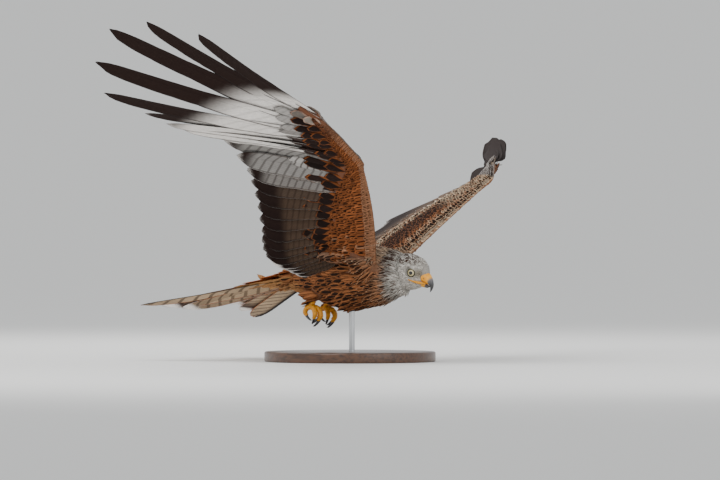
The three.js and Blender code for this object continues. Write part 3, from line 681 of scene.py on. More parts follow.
@made_once
def plumage_material():
    """Vanes: shaft streak, pale fringe, bars and the fine barbs, all from each feather's own place."""
    n = Nodes("feather")
    vane = n.add("SeparateXYZ", {0: n.attribute("vane").outputs["Vector"]}).outputs
    pattern = n.add("SeparateXYZ", {0: n.attribute("pattern").outputs["Vector"]}).outputs
    rhythm = n.add("SeparateXYZ", {0: n.attribute("rhythm").outputs["Vector"]}).outputs
    u = n.math("ABSOLUTE", vane[0])
    v = vane[1]
    fleck = n.noise(900.0, 2.0, 0.6)
    wobble = n.math("MULTIPLY_ADD", fleck, 0.5, -0.25)
    # Bars cross the vane at a slant
    beat = n.math("MULTIPLY_ADD", vane[0], 0.08, v)
    beat = n.math("MULTIPLY_ADD", beat, rhythm[0], n.math("MULTIPLY_ADD", wobble, 0.35, rhythm[2]))
    wave = n.math("SINE", n.math("MULTIPLY", beat, math.tau))
    bars = n.math("MULTIPLY", n.step(wave, 0.45, 0.85), pattern[2])
    colour = n.mix(n.attribute("ground").outputs["Color"], n.attribute("mark").outputs["Color"], bars)
    # The shaft streak is a lens, widest at three quarters of the way to the tip
    wide = n.math("MULTIPLY", pattern[0], n.step(v, 0.1, 0.72, 0.2, 1.4))
    wide = n.math("MULTIPLY", wide, n.step(v, 0.99, 0.8))
    near = n.math("SUBTRACT", n.math("MULTIPLY_ADD", wobble, 0.12, wide), u)
    streak = n.step(near, -0.06, 0.08)
    streak = n.math("MULTIPLY", streak, n.step(pattern[0], 0.0, 0.05))
    colour = n.mix(colour, n.attribute("mark").outputs["Color"], streak)
    # Fringe along the rim and tip
    rim = n.math("MAXIMUM", n.math("SUBTRACT", u, rhythm[1]), n.math("MULTIPLY_ADD", wobble, 0.2, v))
    start = n.math("SUBTRACT", 1.0, pattern[1])
    fringe = n.step(n.math("SUBTRACT", rim, start), 0.0, 0.09)
    fringe = n.math("MULTIPLY", fringe, n.step(pattern[1], 0.0, 0.04))
    colour = n.mix(colour, n.attribute("fringe").outputs["Color"], fringe)
    # Barbs run outwards and forwards from the shaft
    barb = n.math("MULTIPLY_ADD", v, 60.0, n.math("MULTIPLY", u, -14.0))
    barb = n.math("SINE", n.math("MULTIPLY_ADD", wobble, 4.0, n.math("MULTIPLY", barb, 3.0)))
    light = n.math("MULTIPLY_ADD", barb, 0.05, vane[2])
    light = n.math("MULTIPLY", light, n.math("MULTIPLY_ADD", n.noise(160.0, 3.0), 0.35, 0.83))
    shaft = n.math("MULTIPLY", n.step(u, 0.045, 0.0), n.step(v, 0.97, 0.6))
    light = n.math("MULTIPLY", light, n.math("MULTIPLY_ADD", shaft, -0.3, 1.0))
    grey = n.add("CombineColor", {0: light, 1: light, 2: light}).outputs[0]
    colour = n.mix(colour, grey, 1.0, "MULTIPLY")
    normal = n.bump(n.math("MULTIPLY_ADD", barb, 0.5, fleck), 0.35, 0.0004)
    return n.finish(
        colour, 0.7, normal, Sheen_Weight=0.02, Sheen_Roughness=0.5, Specular_IOR_Level=0.02
    )


def skin_material():
    """The skin under the coat carries the same markings."""
    n = Nodes("skin")
    colour = n.attribute("ground").outputs["Color"]
    light = n.math("MULTIPLY_ADD", n.noise(420.0, 4.0), 0.5, 0.55)
    grey = n.add("CombineColor", {0: light, 1: light, 2: light}).outputs[0]
    return n.finish(n.mix(colour, grey, 1.0, "MULTIPLY"), 0.85, n.bump(light, 0.5, 0.0008))


# Colours and markings by place on the bird
def tint(name):
    """One of the bird's colours, as its panel gives it."""
    return np.array(getattr(bpy.context.scene.kite_colours, name)[:3])


def body_marks(p):
    """Colours and widths of the markings for feathers rooted at points of the trunk and head, with painted
    shade on the underside.
    """
    h = to_head(p)
    x, z = p[:, 0], p[:, 2]
    near_head = smooth(-64, -26, h[:, 0]) * smooth(82, 108, x)
    collar = smooth(62, 112, x)
    under = smooth(10, -28, z)
    back = smooth(34, 54, z)
    vent = smooth(-48, -90, x) * smooth(20, -8, z)
    rump = smooth(-70, -120, x) * smooth(10, 25, z)
    # The ground darkens towards the underside by the under mask: painted shade.
    ground = blend(tint("rufous"), tint("rufous") * 0.68, under * 0.5)
    ground = blend(ground, tint("mantle"), back * 0.8)
    ground = blend(ground, tint("ochre"), np.maximum(vent, rump * 0.8))
    pale = np.clip(collar * (0.5 + 0.4 * back) + rng.normal(0, 0.16, len(p)) * collar, 0, 1)
    ground = blend(ground, tint("cream") * 0.7, pale)
    nape = smooth(-8, -34, h[:, 0])
    head_shade = (0.84 - 0.3 * nape) * rng.normal(1, 0.09, len(p))
    ground = blend(ground, tint("head_grey") * head_shade[:, None], near_head)
    lore = smooth(9, 16, h[:, 0]) * smooth(25, 19, h[:, 0]) * smooth(10, 2, np.abs(h[:, 2] + 1))
    ground = blend(ground, tint("head_grey") * [0.34, 0.3, 0.22], lore * 0.8)
    crown = smooth(6, 18, h[:, 2])
    mark = np.broadcast_to(tint("streak"), ground.shape)
    mark = blend(mark, tint("streak") * 2.6, near_head * (1 - 0.4 * np.maximum(crown, nape)))
    fringe = blend(ground * 1.25, tint("cream"), smooth(36, 80, x) * (1 - near_head) * 0.7)
    streak = (0.31 - 0.3 * vent - 0.22 * rump) * rng.choice([0.25, 0.8, 1, 1.15], len(p))
    bold = rng.choice([0.3, 0.8, 1.5], len(p))
    head_streak = (0.16 - 0.1 * smooth(4, 14, h[:, 0]) + 0.3 * crown + 0.2 * nape) * bold
    streak = streak * (1 - near_head) + head_streak * near_head
    edge = 0.06 + 0.05 * smooth(36, 80, x) * (1 - near_head) + 0.06 * back * (1 - near_head)
    return {"ground": ground, "mark": mark, "fringe": fringe, "streak": streak, "edge": edge}


def body_lie(p):
    """The direction that the coat lies in, before it is laid flat on the skin."""
    h = to_head(p)
    from_bill = unit(p - from_head([27, 0, -8]))
    headward = smooth(-60, -10, h[:, 0])
    lie = blend(np.broadcast_to(BACKWARDS, p.shape), from_bill, headward)
    tail = heading(TAIL_SWING, TAIL_DIP, 1)
    lie = blend(lie, np.broadcast_to(tail, p.shape), smooth(-70, -120, p[:, 0]))
    low = smooth(-26, -40, p[:, 2]) * smooth(-28, -40, p[:, 0]) * smooth(10, 20, np.abs(p[:, 1]))
    return unit(blend(lie, np.broadcast_to([-0.75, 0, -0.66], p.shape), low))


def body_sizes(p):
    """Length, half width and spacing of the feathers rooted at points of the trunk and head."""
    h = to_head(p)
    x = p[:, 0]
    nape = smooth(-6, -40, h[:, 0])
    face = smooth(4, 20, h[:, 0])
    is_head = smooth(96, 112, x)
    trunk = 18 + 12 * smooth(95, 40, x) + 4 * smooth(-60, -120, x)
    length = trunk * (1 - is_head) + is_head * (7.6 - 4 * face + 13 * nape)
    narrow = 0.16 + 0.08 * smooth(95, 30, x)
    width = length * narrow * (1 - is_head) + is_head * (1.9 - 1.0 * face + 0.6 * nape)
    spacing = (3.0 + 4.2 * smooth(100, 30, x)) * (1 - is_head) + is_head * (1.85 - 0.5 * face + 1.2 * nape)
    return length, width, spacing


# Skin
def flesh_parts():
    """The trunk, neck, head, thighs, tail root and wing flesh, each a little inside its solid."""
    parts = [loft("trunk", TORSO, 4.2), loft("throat", NECK, 3.6), loft("skull", HEAD, 1.6, 36, 40, True)]
    tail = tail_frame()
    rings = 16
    t = np.linspace(0, 1, rings)
    centre = TAIL_ROOT + tail["axis"] * (-26 + 100 * t)[:, None] + tail["normal"] * (-4 * (1 - t))[:, None]
    across = np.tile(tail["right"], (rings, 1))
    up = np.tile(tail["normal"], (rings, 1))
    wide = (30 + 6 * t) * (1 - 0.55 * t * t) - 3
    deep = 17 - 16 * smooth(0, 1, t)
    parts.append(tube("tail_flesh", centre, across, up, wide, deep, 28))
    for leg in LEGS.values():
        hip, knee = np.array(leg["hip"], float), np.array(leg["knee"], float)
        parts.append(limb("thigh", [hip, (hip + knee) / 2, knee], [18.5, 12, 6.5], 24, 14))
    for name in WINGS:
        wing = wing_frame(name)
        side = wing["side"]
        joint = wing["elbow"] + (wing["shoulder"] - wing["elbow"]) * 0.45
        bend = [np.array([20, side * 16, 26]), wing["shoulder"], joint]
        parts.append(limb("shoulder", bend, [16, 17, 12], 24, 16))
        parts.append(wing_core(wing, 0, len(wing["root"]) - 1.2))
    for side in SIDES.values():
        ridge = from_head([[-9, side * 19.6, 7.4], [3, side * 20.6, 8.8], [14, side * 14.6, 5.4]])
        parts.append(limb("brow", ridge, [2.2, 4, 2.2], 12, 12))
    return parts


def build_skin():
    """One closed skin with the coat's markings."""
    skin = join(flesh_parts(), "skin")
    finish_with(skin, "REMESH", mode="VOXEL", voxel_size=SKIN_VOXEL, adaptivity=0.0)
    finish_with(skin, "SMOOTH", factor=0.5, iterations=5)
    points = mesh_points(skin)
    colour = np.ones((len(points), 4))
    colour[:, :3] = shaded_skin_ground(points)
    give(skin.data, "ground", colour, "FLOAT_COLOR")
    dress(
        skin, skin_material(), "plumage_body", "torso", "neck", "head", "thigh_right", "thigh_left",
        "wing_right_arm", "wing_right_hand", "wing_left_arm", "wing_left_hand", "tail",
    )
    return skin


def mesh_points(piece):
    """The points of a piece in the bird's millimetres."""
    points = np.empty(len(piece.data.vertices) * 3, np.float32)
    piece.data.vertices.foreach_get("co", points)
    return points.reshape(-1, 3) / MM - [0, 0, BIRD_HEIGHT]


def arm_share(p, wing):
    """How far out along the arm a point lies, from 0 at the shoulder to 1 at the wrist."""
    arm = wing["wrist"] - wing["shoulder"]
    return ((p - wing["shoulder"]) @ arm) / (arm @ arm)


def shaded_skin_ground(p):
    """The skin's colour: the trunk's and, beyond the shoulders, the wings', both darkened as painted shade
    for the gaps under the coat.
    """
    # The coat's colour at 0.55, and the wings' at 0.7 below: painted shade under the feathers.
    colour = body_marks(p)["ground"] * 0.55
    upper_wing = blend(tint("mantle"), tint("cream"), 0.4)
    for name in WINGS:
        wing = wing_frame(name)
        beside = np.sign(p[:, 1]) == wing["side"]
        out = smooth(0.05, 0.2, arm_share(p, wing)) * beside
        wing_colour = tint("orange") if wing["side"] < 0 else upper_wing
        colour = blend(colour, np.broadcast_to(wing_colour * 0.7, p.shape), out)
    return colour


def skin_samples(skin, count):
    """Points spread evenly at random over the skin, with their normals."""
    skin.data.calc_loop_triangles()
    mesh = skin.data
    corners = np.empty(len(mesh.loop_triangles) * 3, np.int32)
    mesh.loop_triangles.foreach_get("vertices", corners)
    corners = corners.reshape(-1, 3)
    points = mesh_points(skin)
    normals = np.empty(len(mesh.vertices) * 3, np.float32)
    mesh.vertices.foreach_get("normal", normals)
    normals = normals.reshape(-1, 3)
    a, b, c = (points[corners[:, k]] for k in range(3))
    area = np.linalg.norm(np.cross(b - a, c - a), axis=1)
    # The head's feathers are small, so more of the samples fall there
    centre = (a + b + c) / 3
    weight = area * (1 + 14 * smooth(100, 112, centre[:, 0]) * (np.abs(centre[:, 1]) < 40))
    chosen = rng.choice(len(corners), count, p=weight / weight.sum())
    mix = rng.dirichlet((1, 1, 1), count)
    spot = sum(points[corners[chosen, k]] * mix[:, k, None] for k in range(3))
    normal = unit(sum(normals[corners[chosen, k]] * mix[:, k, None] for k in range(3)))
    return spot, normal


def thin_out(points, spacing):
    """Keeps points no nearer to each other than their spacing, as a list of places."""
    tree = kdtree.KDTree(len(points))
    for i, point in enumerate(points):
        tree.insert(point, i)
    tree.balance()
    free = np.ones(len(points), bool)
    kept = []
    for i in range(len(points)):
        if free[i]:
            kept.append(i)
            for _, j, _ in tree.find_range(points[i], spacing[i]):
                free[j] = False
    return np.array(kept)


def body_coat(skin):
    """The contour feathers of the trunk, neck, head and thighs."""
    points, normals = skin_samples(skin, SKIN_SAMPLES)
    h = to_head(points)
    allowed = np.ones(len(points), bool)
    for name in WINGS:
        wing = wing_frame(name)
        allowed &= ~((arm_share(points, wing) > 0.13) & (np.sign(points[:, 1]) == wing["side"]))
    for side in SIDES.values():
        eye = np.linalg.norm(h - (EYE_PLACE + [0, 3, 0]) * [1, side, 1], axis=1)
        allowed &= eye > EYE_CLEARING
    allowed &= ~((h[:, 0] > 20.5) & (np.abs(h[:, 1]) < 12) & (h[:, 2] < 14.5))
    points, normals = points[allowed], normals[allowed]
    length, width, spacing = body_sizes(points)
    kept = thin_out(points, spacing)
    points, normals, length, width = points[kept], normals[kept], length[kept], width[kept]
    h = to_head(points)
    is_head = (h[:, 0] > -34) & (points[:, 0] > 106)
    is_neck = ~is_head & (points[:, 0] > 72)
    is_back = ~is_head & ~is_neck & (points[:, 2] > 22)
    is_belly = ~is_head & ~is_neck & ~is_back
    zones = {
        "coat_head": (is_head, "lance", 4, "plumage_head", "head"),
        "coat_neck": (is_neck, "lance", 6, "plumage_body", "neck"),
        "coat_back": (is_back, "body", 6, "plumage_body", "torso"),
        "coat_belly": (is_belly, "body", 6, "plumage_body", "torso"),
    }
    for name, (chosen, outline, rows, slot, node) in zones.items():
        p, n = points[chosen], normals[chosen]
        lie = body_lie(p)
        jitter = rng.normal(0, 0.07, p.shape)
        lie = unit(lie - n * (lie * n).sum(1, keepdims=True) + jitter)
        lie = unit(lie - n * (lie * n).sum(1, keepdims=True))
        size = rng.normal(1, 0.1, len(p))
        flat = name == "coat_head"
        lay = {
            "root": p + n * (0.3 if flat else -0.4), "along": lie, "up": n,
            "length": length[chosen] * size, "width": width[chosen] * rng.normal(1, 0.08, len(p)),
        }
        pitch = np.where(is_head[chosen], 0.07, 0.2) + rng.normal(0, 0.03, len(p))
        piece, where = feathers(
            name, lay, outline, rows, pitch=pitch, curl=-0.04 if flat else -0.11,
            cup=0.15 if flat else 0.3, thick=0.3, ragged=0.3, slant=0.9,
        )
        marks = body_marks(p)
        # The skin unwrapped round the head's axis or the trunk's
        if flat:
            spot, start, long = to_head(p), -48, 90
        else:
            spot, start, long = p - [0, 0, 8], -180, 320
        turn = np.arctan2(spot[:, 1], spot[:, 2]) / math.tau + 0.5
        place = np.stack([turn, np.clip((spot[:, 0] - start) / long, 0, 1)], -1)
        paint(piece, where, marks, place * 0.995)
        dress(piece, plumage_material(), slot, node)


# Wing coverts, row by row: kind, first and last quill, chord, length, half width, lift, spacing
def small_rows(first, last, count, length, half_width):
    """Rows of small coverts between the front edge and the quills, behind a rim of tiny ones."""
    rows = [("rim", first, last, -1.0, 7, 3, 1, 0.9), ("rim", first, last, -0.97, 12, 3.6, 2, 0.9)]
    for chord in np.linspace(-0.94, -0.16, count):
        rows.append(("small", first, last, chord, length, half_width, 2.6, 1.05))
    return rows


UNDER_ROWS = {
    "arm": small_rows(-0.3, 14.9, 8, 25, 6.6) + [
        ("oval", 0.2, 14.9, 0.0, 46, 10, 8, 1.7),
        ("oval", 0.5, 14.8, 0.09, 58, 10.6, 6, 1.7),
        ("long", 0.3, 14.7, 0.16, 70, 12.5, 2, 1.2),
        ("axillary", -0.3, 3.6, -0.35, 74, 9, 8, 0.9),
    ],
    "hand": small_rows(14.8, 23.6, 6, 20, 5.6) + [
        ("oval", 14.9, 23.2, -0.02, 32, 8.5, 9, 1.5),
        ("oval", 15.2, 23, 0.04, 42, 9.5, 7.5, 1.6),
        ("long", 15, 22.8, 0.07, 62, 10.5, 2.4, 1.2),
    ],
}
OVER_ROWS = {
    "arm": small_rows(-0.3, 14.9, 12, 16, 4.3) + [
        ("band", 0.2, 14.9, 0.0, 32, 7.5, 3.8, 1.1),
        ("band", 0.4, 14.8, 0.09, 36, 8.5, 4, 1.2),
        ("long", 0.3, 14.7, 0.05, 76, 12.5, 3, 1.2),
    ],
    "hand": small_rows(14.8, 23.6, 7, 15, 4.3) + [
        ("band", 14.9, 23.2, -0.02, 30, 8, 3.6, 1.1),
        ("band", 15.2, 23, 0.03, 38, 9, 4, 1.2),
        ("long", 15, 22.8, 0.0, 62, 10.5, 3, 1.2),
    ],
}


def lay_rows(wing, face, rows):
    """Where each covert of the rows is rooted and how it lies on the wing."""
    places, chords, sizes, kinds = [], [], [], []
    for number, (kind, first, last, chord, length, half_width, lift, spacing) in enumerate(rows):
        ends = wing_skin(wing, np.linspace(first, last, 40), np.full(40, chord), face)
        run = np.linalg.norm(np.diff(ends, axis=0), axis=1).sum()
        count = max(int(run / (half_width * spacing)), 4)
        step = (last - first) / count
        place = first + step * (np.arange(count) + 0.5 * (number % 2)) + rng.normal(0, step * 0.24, count)
        places.append(place)
        chords.append(np.full(count, chord) + rng.normal(0, 0.02, count) * (kind == "small"))
        sizes.append(np.tile([length, half_width, lift], (count, 1)))
        kinds.append(np.full(count, kind))
    place, chord, size = np.concatenate(places), np.concatenate(chords), np.concatenate(sizes)
    at = wing_at(wing, place)
    lead = np.linalg.norm(leading_edge(wing, place) - at["root"], axis=1)
    small = size[:, 0] < 30
    short = np.where(small, np.clip(lead / 62, 0.55, 1.1), np.clip(at["length"] / 180, 0.6, 1.1))
    length = size[:, 0] * short * rng.normal(1, 0.07, len(place))
    behind = np.where(chord < 0, chord * lead, chord * at["length"])
    tip_behind = behind + length
    tip_chord = np.where(tip_behind < 0, tip_behind / lead, tip_behind / at["length"])
    root = wing_skin(wing, place, chord, face)
    forward = unit(leading_edge(wing, place) - at["root"])
    root = root + forward * (1.6 * (chord < -0.99))[:, None]
    ahead = wing_skin(wing, place, chord + 0.04, face) - wing_skin(wing, place, chord - 0.04, face)
    beside = wing_skin(wing, place + 0.2, chord, face) - wing_skin(wing, place - 0.2, chord, face)
    ahead = unit(ahead)
    normal = unit(np.cross(beside, ahead))
    normal *= np.sign((normal * at["up"] * face).sum(1, keepdims=True))
    # Near the front edge the surface turns, so the normal leans forwards there
    lean = np.clip((-chord - 0.75) / 0.25, 0, 1)[:, None]
    normal = unit(normal - at["along"] * lean * 0.8)
    aim = place + rng.normal(0, 0.09, len(place))
    lift = size[:, 2] * np.where(size[:, 2] > 5, (core_depth(place) - 2.5) / 10, 1)
    tip = wing_skin(wing, aim, tip_chord, face) + at["up"] * (face * lift)[:, None]
    reach = tip - root
    along = unit(unit(reach) + ahead * 0.25)
    normal = unit(normal - along * (normal * along).sum(1, keepdims=True))
    length = np.linalg.norm(reach, axis=1)
    curl = (unit(reach) * normal).sum(1)
    return {
        "root": root - normal * 0.5, "along": along, "up": normal, "length": length,
        "width": size[:, 1] * np.where(small, np.clip(lead / 62, 0.6, 1.1), 1), "curl": curl,
        "place": place, "chord": chord, "kind": np.concatenate(kinds),
    }


def under_covert_marks(lay, _wing, hand):
    """Orange small coverts, two rows of dark ovals with rufous rims, then barred ones paler outwards."""
    kind, chord, place = lay["kind"], lay["chord"], lay["place"]
    count = len(kind)
    outwards = smooth(10.5, 13.5, place)
    # Away from the front edge the small coverts are darkened: painted shade.
    painted_shade = 1 - 0.3 * smooth(-0.9, -0.2, chord)[:, None]
    ground = tint("orange") * painted_shade * rng.normal(1, 0.18, (count, 1))
    mark = np.tile(tint("streak") * 0.3, (count, 1))
    fringe = ground * 1.14
    streak = 0.15 + 0.2 * smooth(-0.35, -0.1, chord) * rng.random(count)
    edge = np.full(count, 0.08)
    bars = np.zeros(count)
    rim = kind == "rim"
    ground[rim] = blend(tint("orange"), tint("cream"), 0.14)
    fleck = rng.random(count) < 0.3 * smooth(5, 1, place)
    ground[fleck] = blend(ground, tint("cream"), 0.14)[fleck]
    if hand:
        ground = blend(ground, tint("dark_wing") * 1.8, smooth(18, 22, place) * 0.6)
    ovals = kind == "oval"
    dark = tint("dark_wing") * rng.normal(0.9, 0.14, (count, 1))
    pale = blend(np.tile(tint("window") * 0.75, (count, 1)), tint("cream") * 0.6, rng.random(count) * 0.6)
    far_hand = smooth(22, 23.2, place)
    ground[ovals] = blend(tint("orange") * rng.normal(0.85, 0.15, (count, 1)), pale, far_hand)[ovals]
    mark[ovals] = blend(dark, pale * 0.8, far_hand)[ovals]
    fringe[ovals] = ground[ovals] * 1.1
    streak[ovals] = 0.6 * rng.normal(1, 0.1, ovals.sum())
    edge[ovals] = 0.05
    long = kind == "long"
    barred = blend(np.tile(tint("mantle") * 0.45, (count, 1)), tint("window") * 0.42, outwards)
    crescent = smooth(14.8, 15.4, place) * smooth(21, 18, place)
    ground[long] = blend(barred, tint("dark_wing") * 1.7, crescent)[long]
    mark[long] = tint("dark_wing")
    fringe[long] = tint("window") * 0.5
    streak[long] = 0
    edge[long] = 0.05
    bars[long] = 0.2 if hand else 0.7
    axillary = kind == "axillary"
    streak[axillary] = 0.34
    return {
        "ground": ground, "mark": mark, "fringe": fringe, "streak": streak, "edge": edge, "bars": bars,
        "rate": 6, "phase": rng.random(count), "tone": rng.normal(1, 0.12, count),
    }


def over_covert_marks(lay, wing, hand):
    """Cream front edge with black flecks, dark coverts edged rufous, and a cream band."""
    kind, chord, place = lay["kind"], lay["chord"], lay["place"]
    count = len(kind)
    front = smooth(-0.86, -0.98, chord)
    wrist = smooth(8.5, 11.5, place)
    rear = smooth(-0.46, -0.36, chord)
    pale = np.maximum(np.maximum(front * 0.75, wrist), rear) * (1 if wing["side"] > 0 else 0.12)
    cream = blend(np.tile(tint("cream"), (count, 1)), tint("orange") * 1.5, rng.random(count) ** 2 * 0.8)
    dark = tint("dark_wing") * rng.normal(1.6, 0.3, (count, 1))
    brown = blend(tint("rufous") * rng.normal(1, 0.12, (count, 1)), dark, smooth(-0.95, -0.7, chord) * 0.95)
    ground = blend(brown, cream * rng.normal(0.9, 0.1, (count, 1)), pale)
    mark = np.tile(tint("streak") * 0.7, (count, 1))
    fringe = blend(np.tile(tint("rufous") * 0.85, (count, 1)), ground * 1.05, pale)
    streak = np.where(kind == "rim", 0.5, 0.24 + 0.24 * pale * rng.random(count))
    edge = 0.05 + 0.05 * (1 - pale)
    if hand:
        grey = blend(np.tile(tint("mantle") * 1.2, (count, 1)), tint("window") * 0.4, 0.5)
        ground = grey * rng.normal(1, 0.2, (count, 1))
        fringe = np.tile(tint("window") * 0.6, (count, 1))
        edge = edge + 0.08
    bars = np.zeros(count)
    band = kind == "band"
    pale_band = tint("cream") * rng.normal(0.95, 0.1, (count, 1))
    grey_band = tint("mantle") * rng.normal(1.3, 0.2, (count, 1))
    grey_band = blend(grey_band, tint("window") * 0.6, rng.random(count) * 0.4)
    ground[band] = (grey_band if hand else pale_band)[band]
    fringe[band] = tint("window")
    streak[band] = 0.3
    edge[band] = 0.1
    long = kind == "long"
    ground[long] = tint("mantle")
    fringe[long] = tint("window") * 0.75
    streak[long] = 0.08
    edge[long] = 0.08
    bars[long] = 0.35
    return {
        "ground": ground, "mark": mark, "fringe": fringe, "streak": streak, "edge": edge, "bars": bars,
        "rate": 6, "tone": rng.normal(1, 0.1, count),
    }


def wing_coverts(wing):
    """The rows of coverts on both faces of a wing."""
    faces = ((1, "over", OVER_ROWS, over_covert_marks), (-1, "under", UNDER_ROWS, under_covert_marks))
    for face, side_name, rows, marks_of in faces:
        for part in ("arm", "hand"):
            lay = lay_rows(wing, face, rows[part])
            name = f"coverts_{wing['name']}_{part}_{side_name}"
            piece, where = feathers(
                name, lay, "covert", 8, COVERT_COLUMNS, curl=lay["curl"], cup=0.22, thick=0.4, ragged=0.18
            )
            marks = marks_of(lay, wing, part == "hand")
            spot = np.stack([(lay["place"] + 1) / 27, (lay["chord"] + 1) / 1.3], -1)
            paint(piece, where, marks, np.clip(spot, 0, 1) * 0.99, 0.004)
            dress(piece, plumage_material(), "plumage_wing", f"wing_{wing['name']}_{part}")


# Where the white of each primary ends below, inner to outer, as a share of its length
WINDOW_ENDS = [1.2, 1.15, 1.05, 0.93, 0.74, 0.55, 0.45, 0.38, 0.33, 0.28]


def flight_marks(where):
    """Dark tips, barred grey secondaries below, and the white window of the inner primaries."""
    i, u, v, sheet = where["feather"], where["u"], where["v"], where["sheet"]
    below = (sheet <= 0)[:, None]
    dark, window = tint("dark_wing"), tint("window")
    is_primary = i >= ARM_FEATHERS
    outer_arm = smooth(10.8, 12.6, i) * ~is_primary
    finger = i >= ARM_FEATHERS + FIRST_FINGER
    # Under side
    window_end = np.array([0.0] * ARM_FEATHERS + WINDOW_ENDS)[i]
    tip_start = np.where(is_primary, window_end - 0.1, 0.64 + 0.17 * outer_arm)
    tip_end = np.where(is_primary, window_end + 0.08, tip_start + 0.13)
    dusk = smooth(0, 1, (v + 0.04 * u - tip_start) / (tip_end - tip_start))
    grey = blend(np.tile(tint("mantle") * 0.36, (len(i), 1)), window * 0.3, outer_arm)
    grey = np.where(is_primary[:, None], window * 0.95, grey)
    # Below, each secondary's dark tip darkens towards its inner rim: painted shade where the next feather
    # overlaps it.
    overlap_shade = 1 + 0.3 * u * ~is_primary
    tips = dark * overlap_shade[:, None]
    ground_below = blend(grey, tips, dusk)
    # Upper side
    base = blend(tint("mantle") * 0.7, dark, np.maximum(is_primary, smooth(0.4, 0.8, v)))
    ground = np.where(below, ground_below, base)
    bars_below = np.where(is_primary, 0.16 * smooth(0.9, 0.3, v), 0.5) * (1 - dusk)
    bars = np.where(sheet <= 0, bars_below, 0.3 * ~finger)
    fringe = np.broadcast_to(window, ground.shape)
    innermost = 0.1 * (i < 4) * smooth(0.6, 0.95, v)
    edge = 0.035 + 0.03 * outer_arm + innermost + 0.02 * (is_primary & (i < ARM_FEATHERS + 4))
    edge = np.where(finger, 0.0, edge)
    return {
        "ground": ground, "mark": np.broadcast_to(dark, ground.shape), "fringe": fringe, "streak": 0.0,
        "edge": edge, "bars": bars, "rate": 14, "tone": 1.0, "phase": (i * 0.37) % 1,
    }


def flight_feathers(wing):
    """The secondaries and primaries of a wing, each a full vane with its shaft."""
    i = np.arange(len(wing["root"]))
    finger = i >= ARM_FEATHERS + FIRST_FINGER
    hand_share = np.clip((i - ARM_FEATHERS) / (len(PRIMARY_LENGTHS) - 1), 0, 1)
    width = np.where(i < 3, 22, np.where(i < ARM_FEATHERS, 24, 24 - 5 * hand_share))
    groups = {
        "secondary": i < ARM_FEATHERS,
        "primary": (i >= ARM_FEATHERS) & ~finger,
        "finger": finger,
    }
    made = []
    for outline, chosen in groups.items():
        lay = {k: wing[k][chosen] for k in ("root", "along", "up", "outer", "length")}
        lay["root"] = lay["root"] - lay["along"] * 4
        lay["width"] = width[chosen]
        long = outline == "finger"
        piece, where = feathers(
            f"{outline}_{wing['name']}", lay, outline, 34, FLIGHT_COLUMNS, curl=0.07 if long else -0.03,
            sweep=-0.02 if long else -0.03, cup=0.1, twist=math.radians(8), thick=0.5, shaft=1.6,
            outer_share=0.36 if long else 0.4, ragged=0.05, slant=0.35,
        )
        made.append((piece, where, np.flatnonzero(chosen)))
    for piece, where, quills in made:
        marks = flight_marks({**where, "feather": quills[where["feather"]]})
        paint(piece, where, marks, strips(len(quills), 0.01), [[0.9 / len(quills), 0.97]])
        part = "arm" if piece.name.startswith("secondary") else "hand"
        dress(piece, plumage_material(), "plumage_wing", f"wing_{wing['name']}_{part}")


def thumb_feathers(wing):
    """The alula along the hand's front edge."""
    edge = unit(wing["tip"] - wing["front"])
    thumb = wing_at(wing, np.array([ARM_FEATHERS + 2.0]))
    count = 4
    start = wing["front"] + (wing["tip"] - wing["front"]) * np.linspace(0.05, 0.22, count)[:, None]
    lift = np.linspace(5.5, 3, count)[:, None]
    lie = unit(edge + thumb["along"][0] * 0.25)
    lay = {
        "root": start + thumb["up"] * lift, "along": np.tile(lie, (count, 1)),
        "up": np.tile(thumb["up"], (count, 1)), "outer": np.tile(-thumb["along"], (count, 1)),
        "length": np.linspace(55, 92, count), "width": np.linspace(7, 9, count),
    }
    piece, where = feathers("thumb_" + wing["name"], lay, "covert", 14, COVERT_COLUMNS, cup=0.1, thick=0.7)
    marks = {
        "ground": tint("dark_wing") * 1.2, "mark": tint("streak"), "fringe": tint("cream") * 0.6,
        "streak": 0.1, "edge": 0.05,
    }
    paint(piece, where, marks, strips(count, 0.02), [[0.9 / count, 0.95]])
    dress(piece, plumage_material(), "plumage_wing", f"wing_{wing['name']}_hand")


# Tail
def tail_marks(where, tail):
    """Rufous above; buff below with narrow bars, dark tips and a black line on the outer edge."""
    i, u, v, sheet = where["feather"], where["u"], where["v"], where["sheet"]
    rank = tail["rank"][i]
    below = sheet < 0
    outermost = rank >= 5
    buff = blend(tint("tail_buff"), tint("tail_buff") * 0.72, smooth(4.4, 3, rank))
    buff = blend(buff, tint("dark_wing") * 2.4, smooth(0.62, 0.88, v) * np.where(rank == 4, 0.95, 0.35))
    line = outermost * smooth(0.3, 0.6, u + 0.5 * smooth(0.85, 0.97, v))
    buff = blend(buff, tint("dark_wing") * 0.8, line)
    above = blend(tint("tail_rufous"), tint("dark_wing"), outermost * smooth(-0.3, 0.2, u))
    ground = np.where(below[:, None], buff, above)
    fringe = np.broadcast_to(tint("window"), ground.shape)
    edge = np.where(rank >= 5, 0.02, 0.06 + 0.1 * smooth(0.72, 0.96, v))
    bars = np.where(below, np.where(outermost, 0.7 * (1 - line), 0.6), 0.3 * smooth(0.3, 0, u))
    return {
        "ground": ground, "mark": np.broadcast_to(tint("dark_wing") * 1.3, ground.shape), "fringe": fringe,
        "streak": 0.0, "edge": edge, "bars": bars, "rate": 10, "tone": 1.0, "phase": (rank * 0.21) % 1,
    }


# Coverts at the tail's root, row by row: start, half spread, length, half width and lift
TAIL_COVERT_ROWS = [
    (52, 22, 84, 9.5, 5), (36, 24, 78, 9, 8), (16, 25, 72, 9, 11), (-6, 25, 62, 8, 14),
    (-28, 24, 50, 7.5, 16),
]


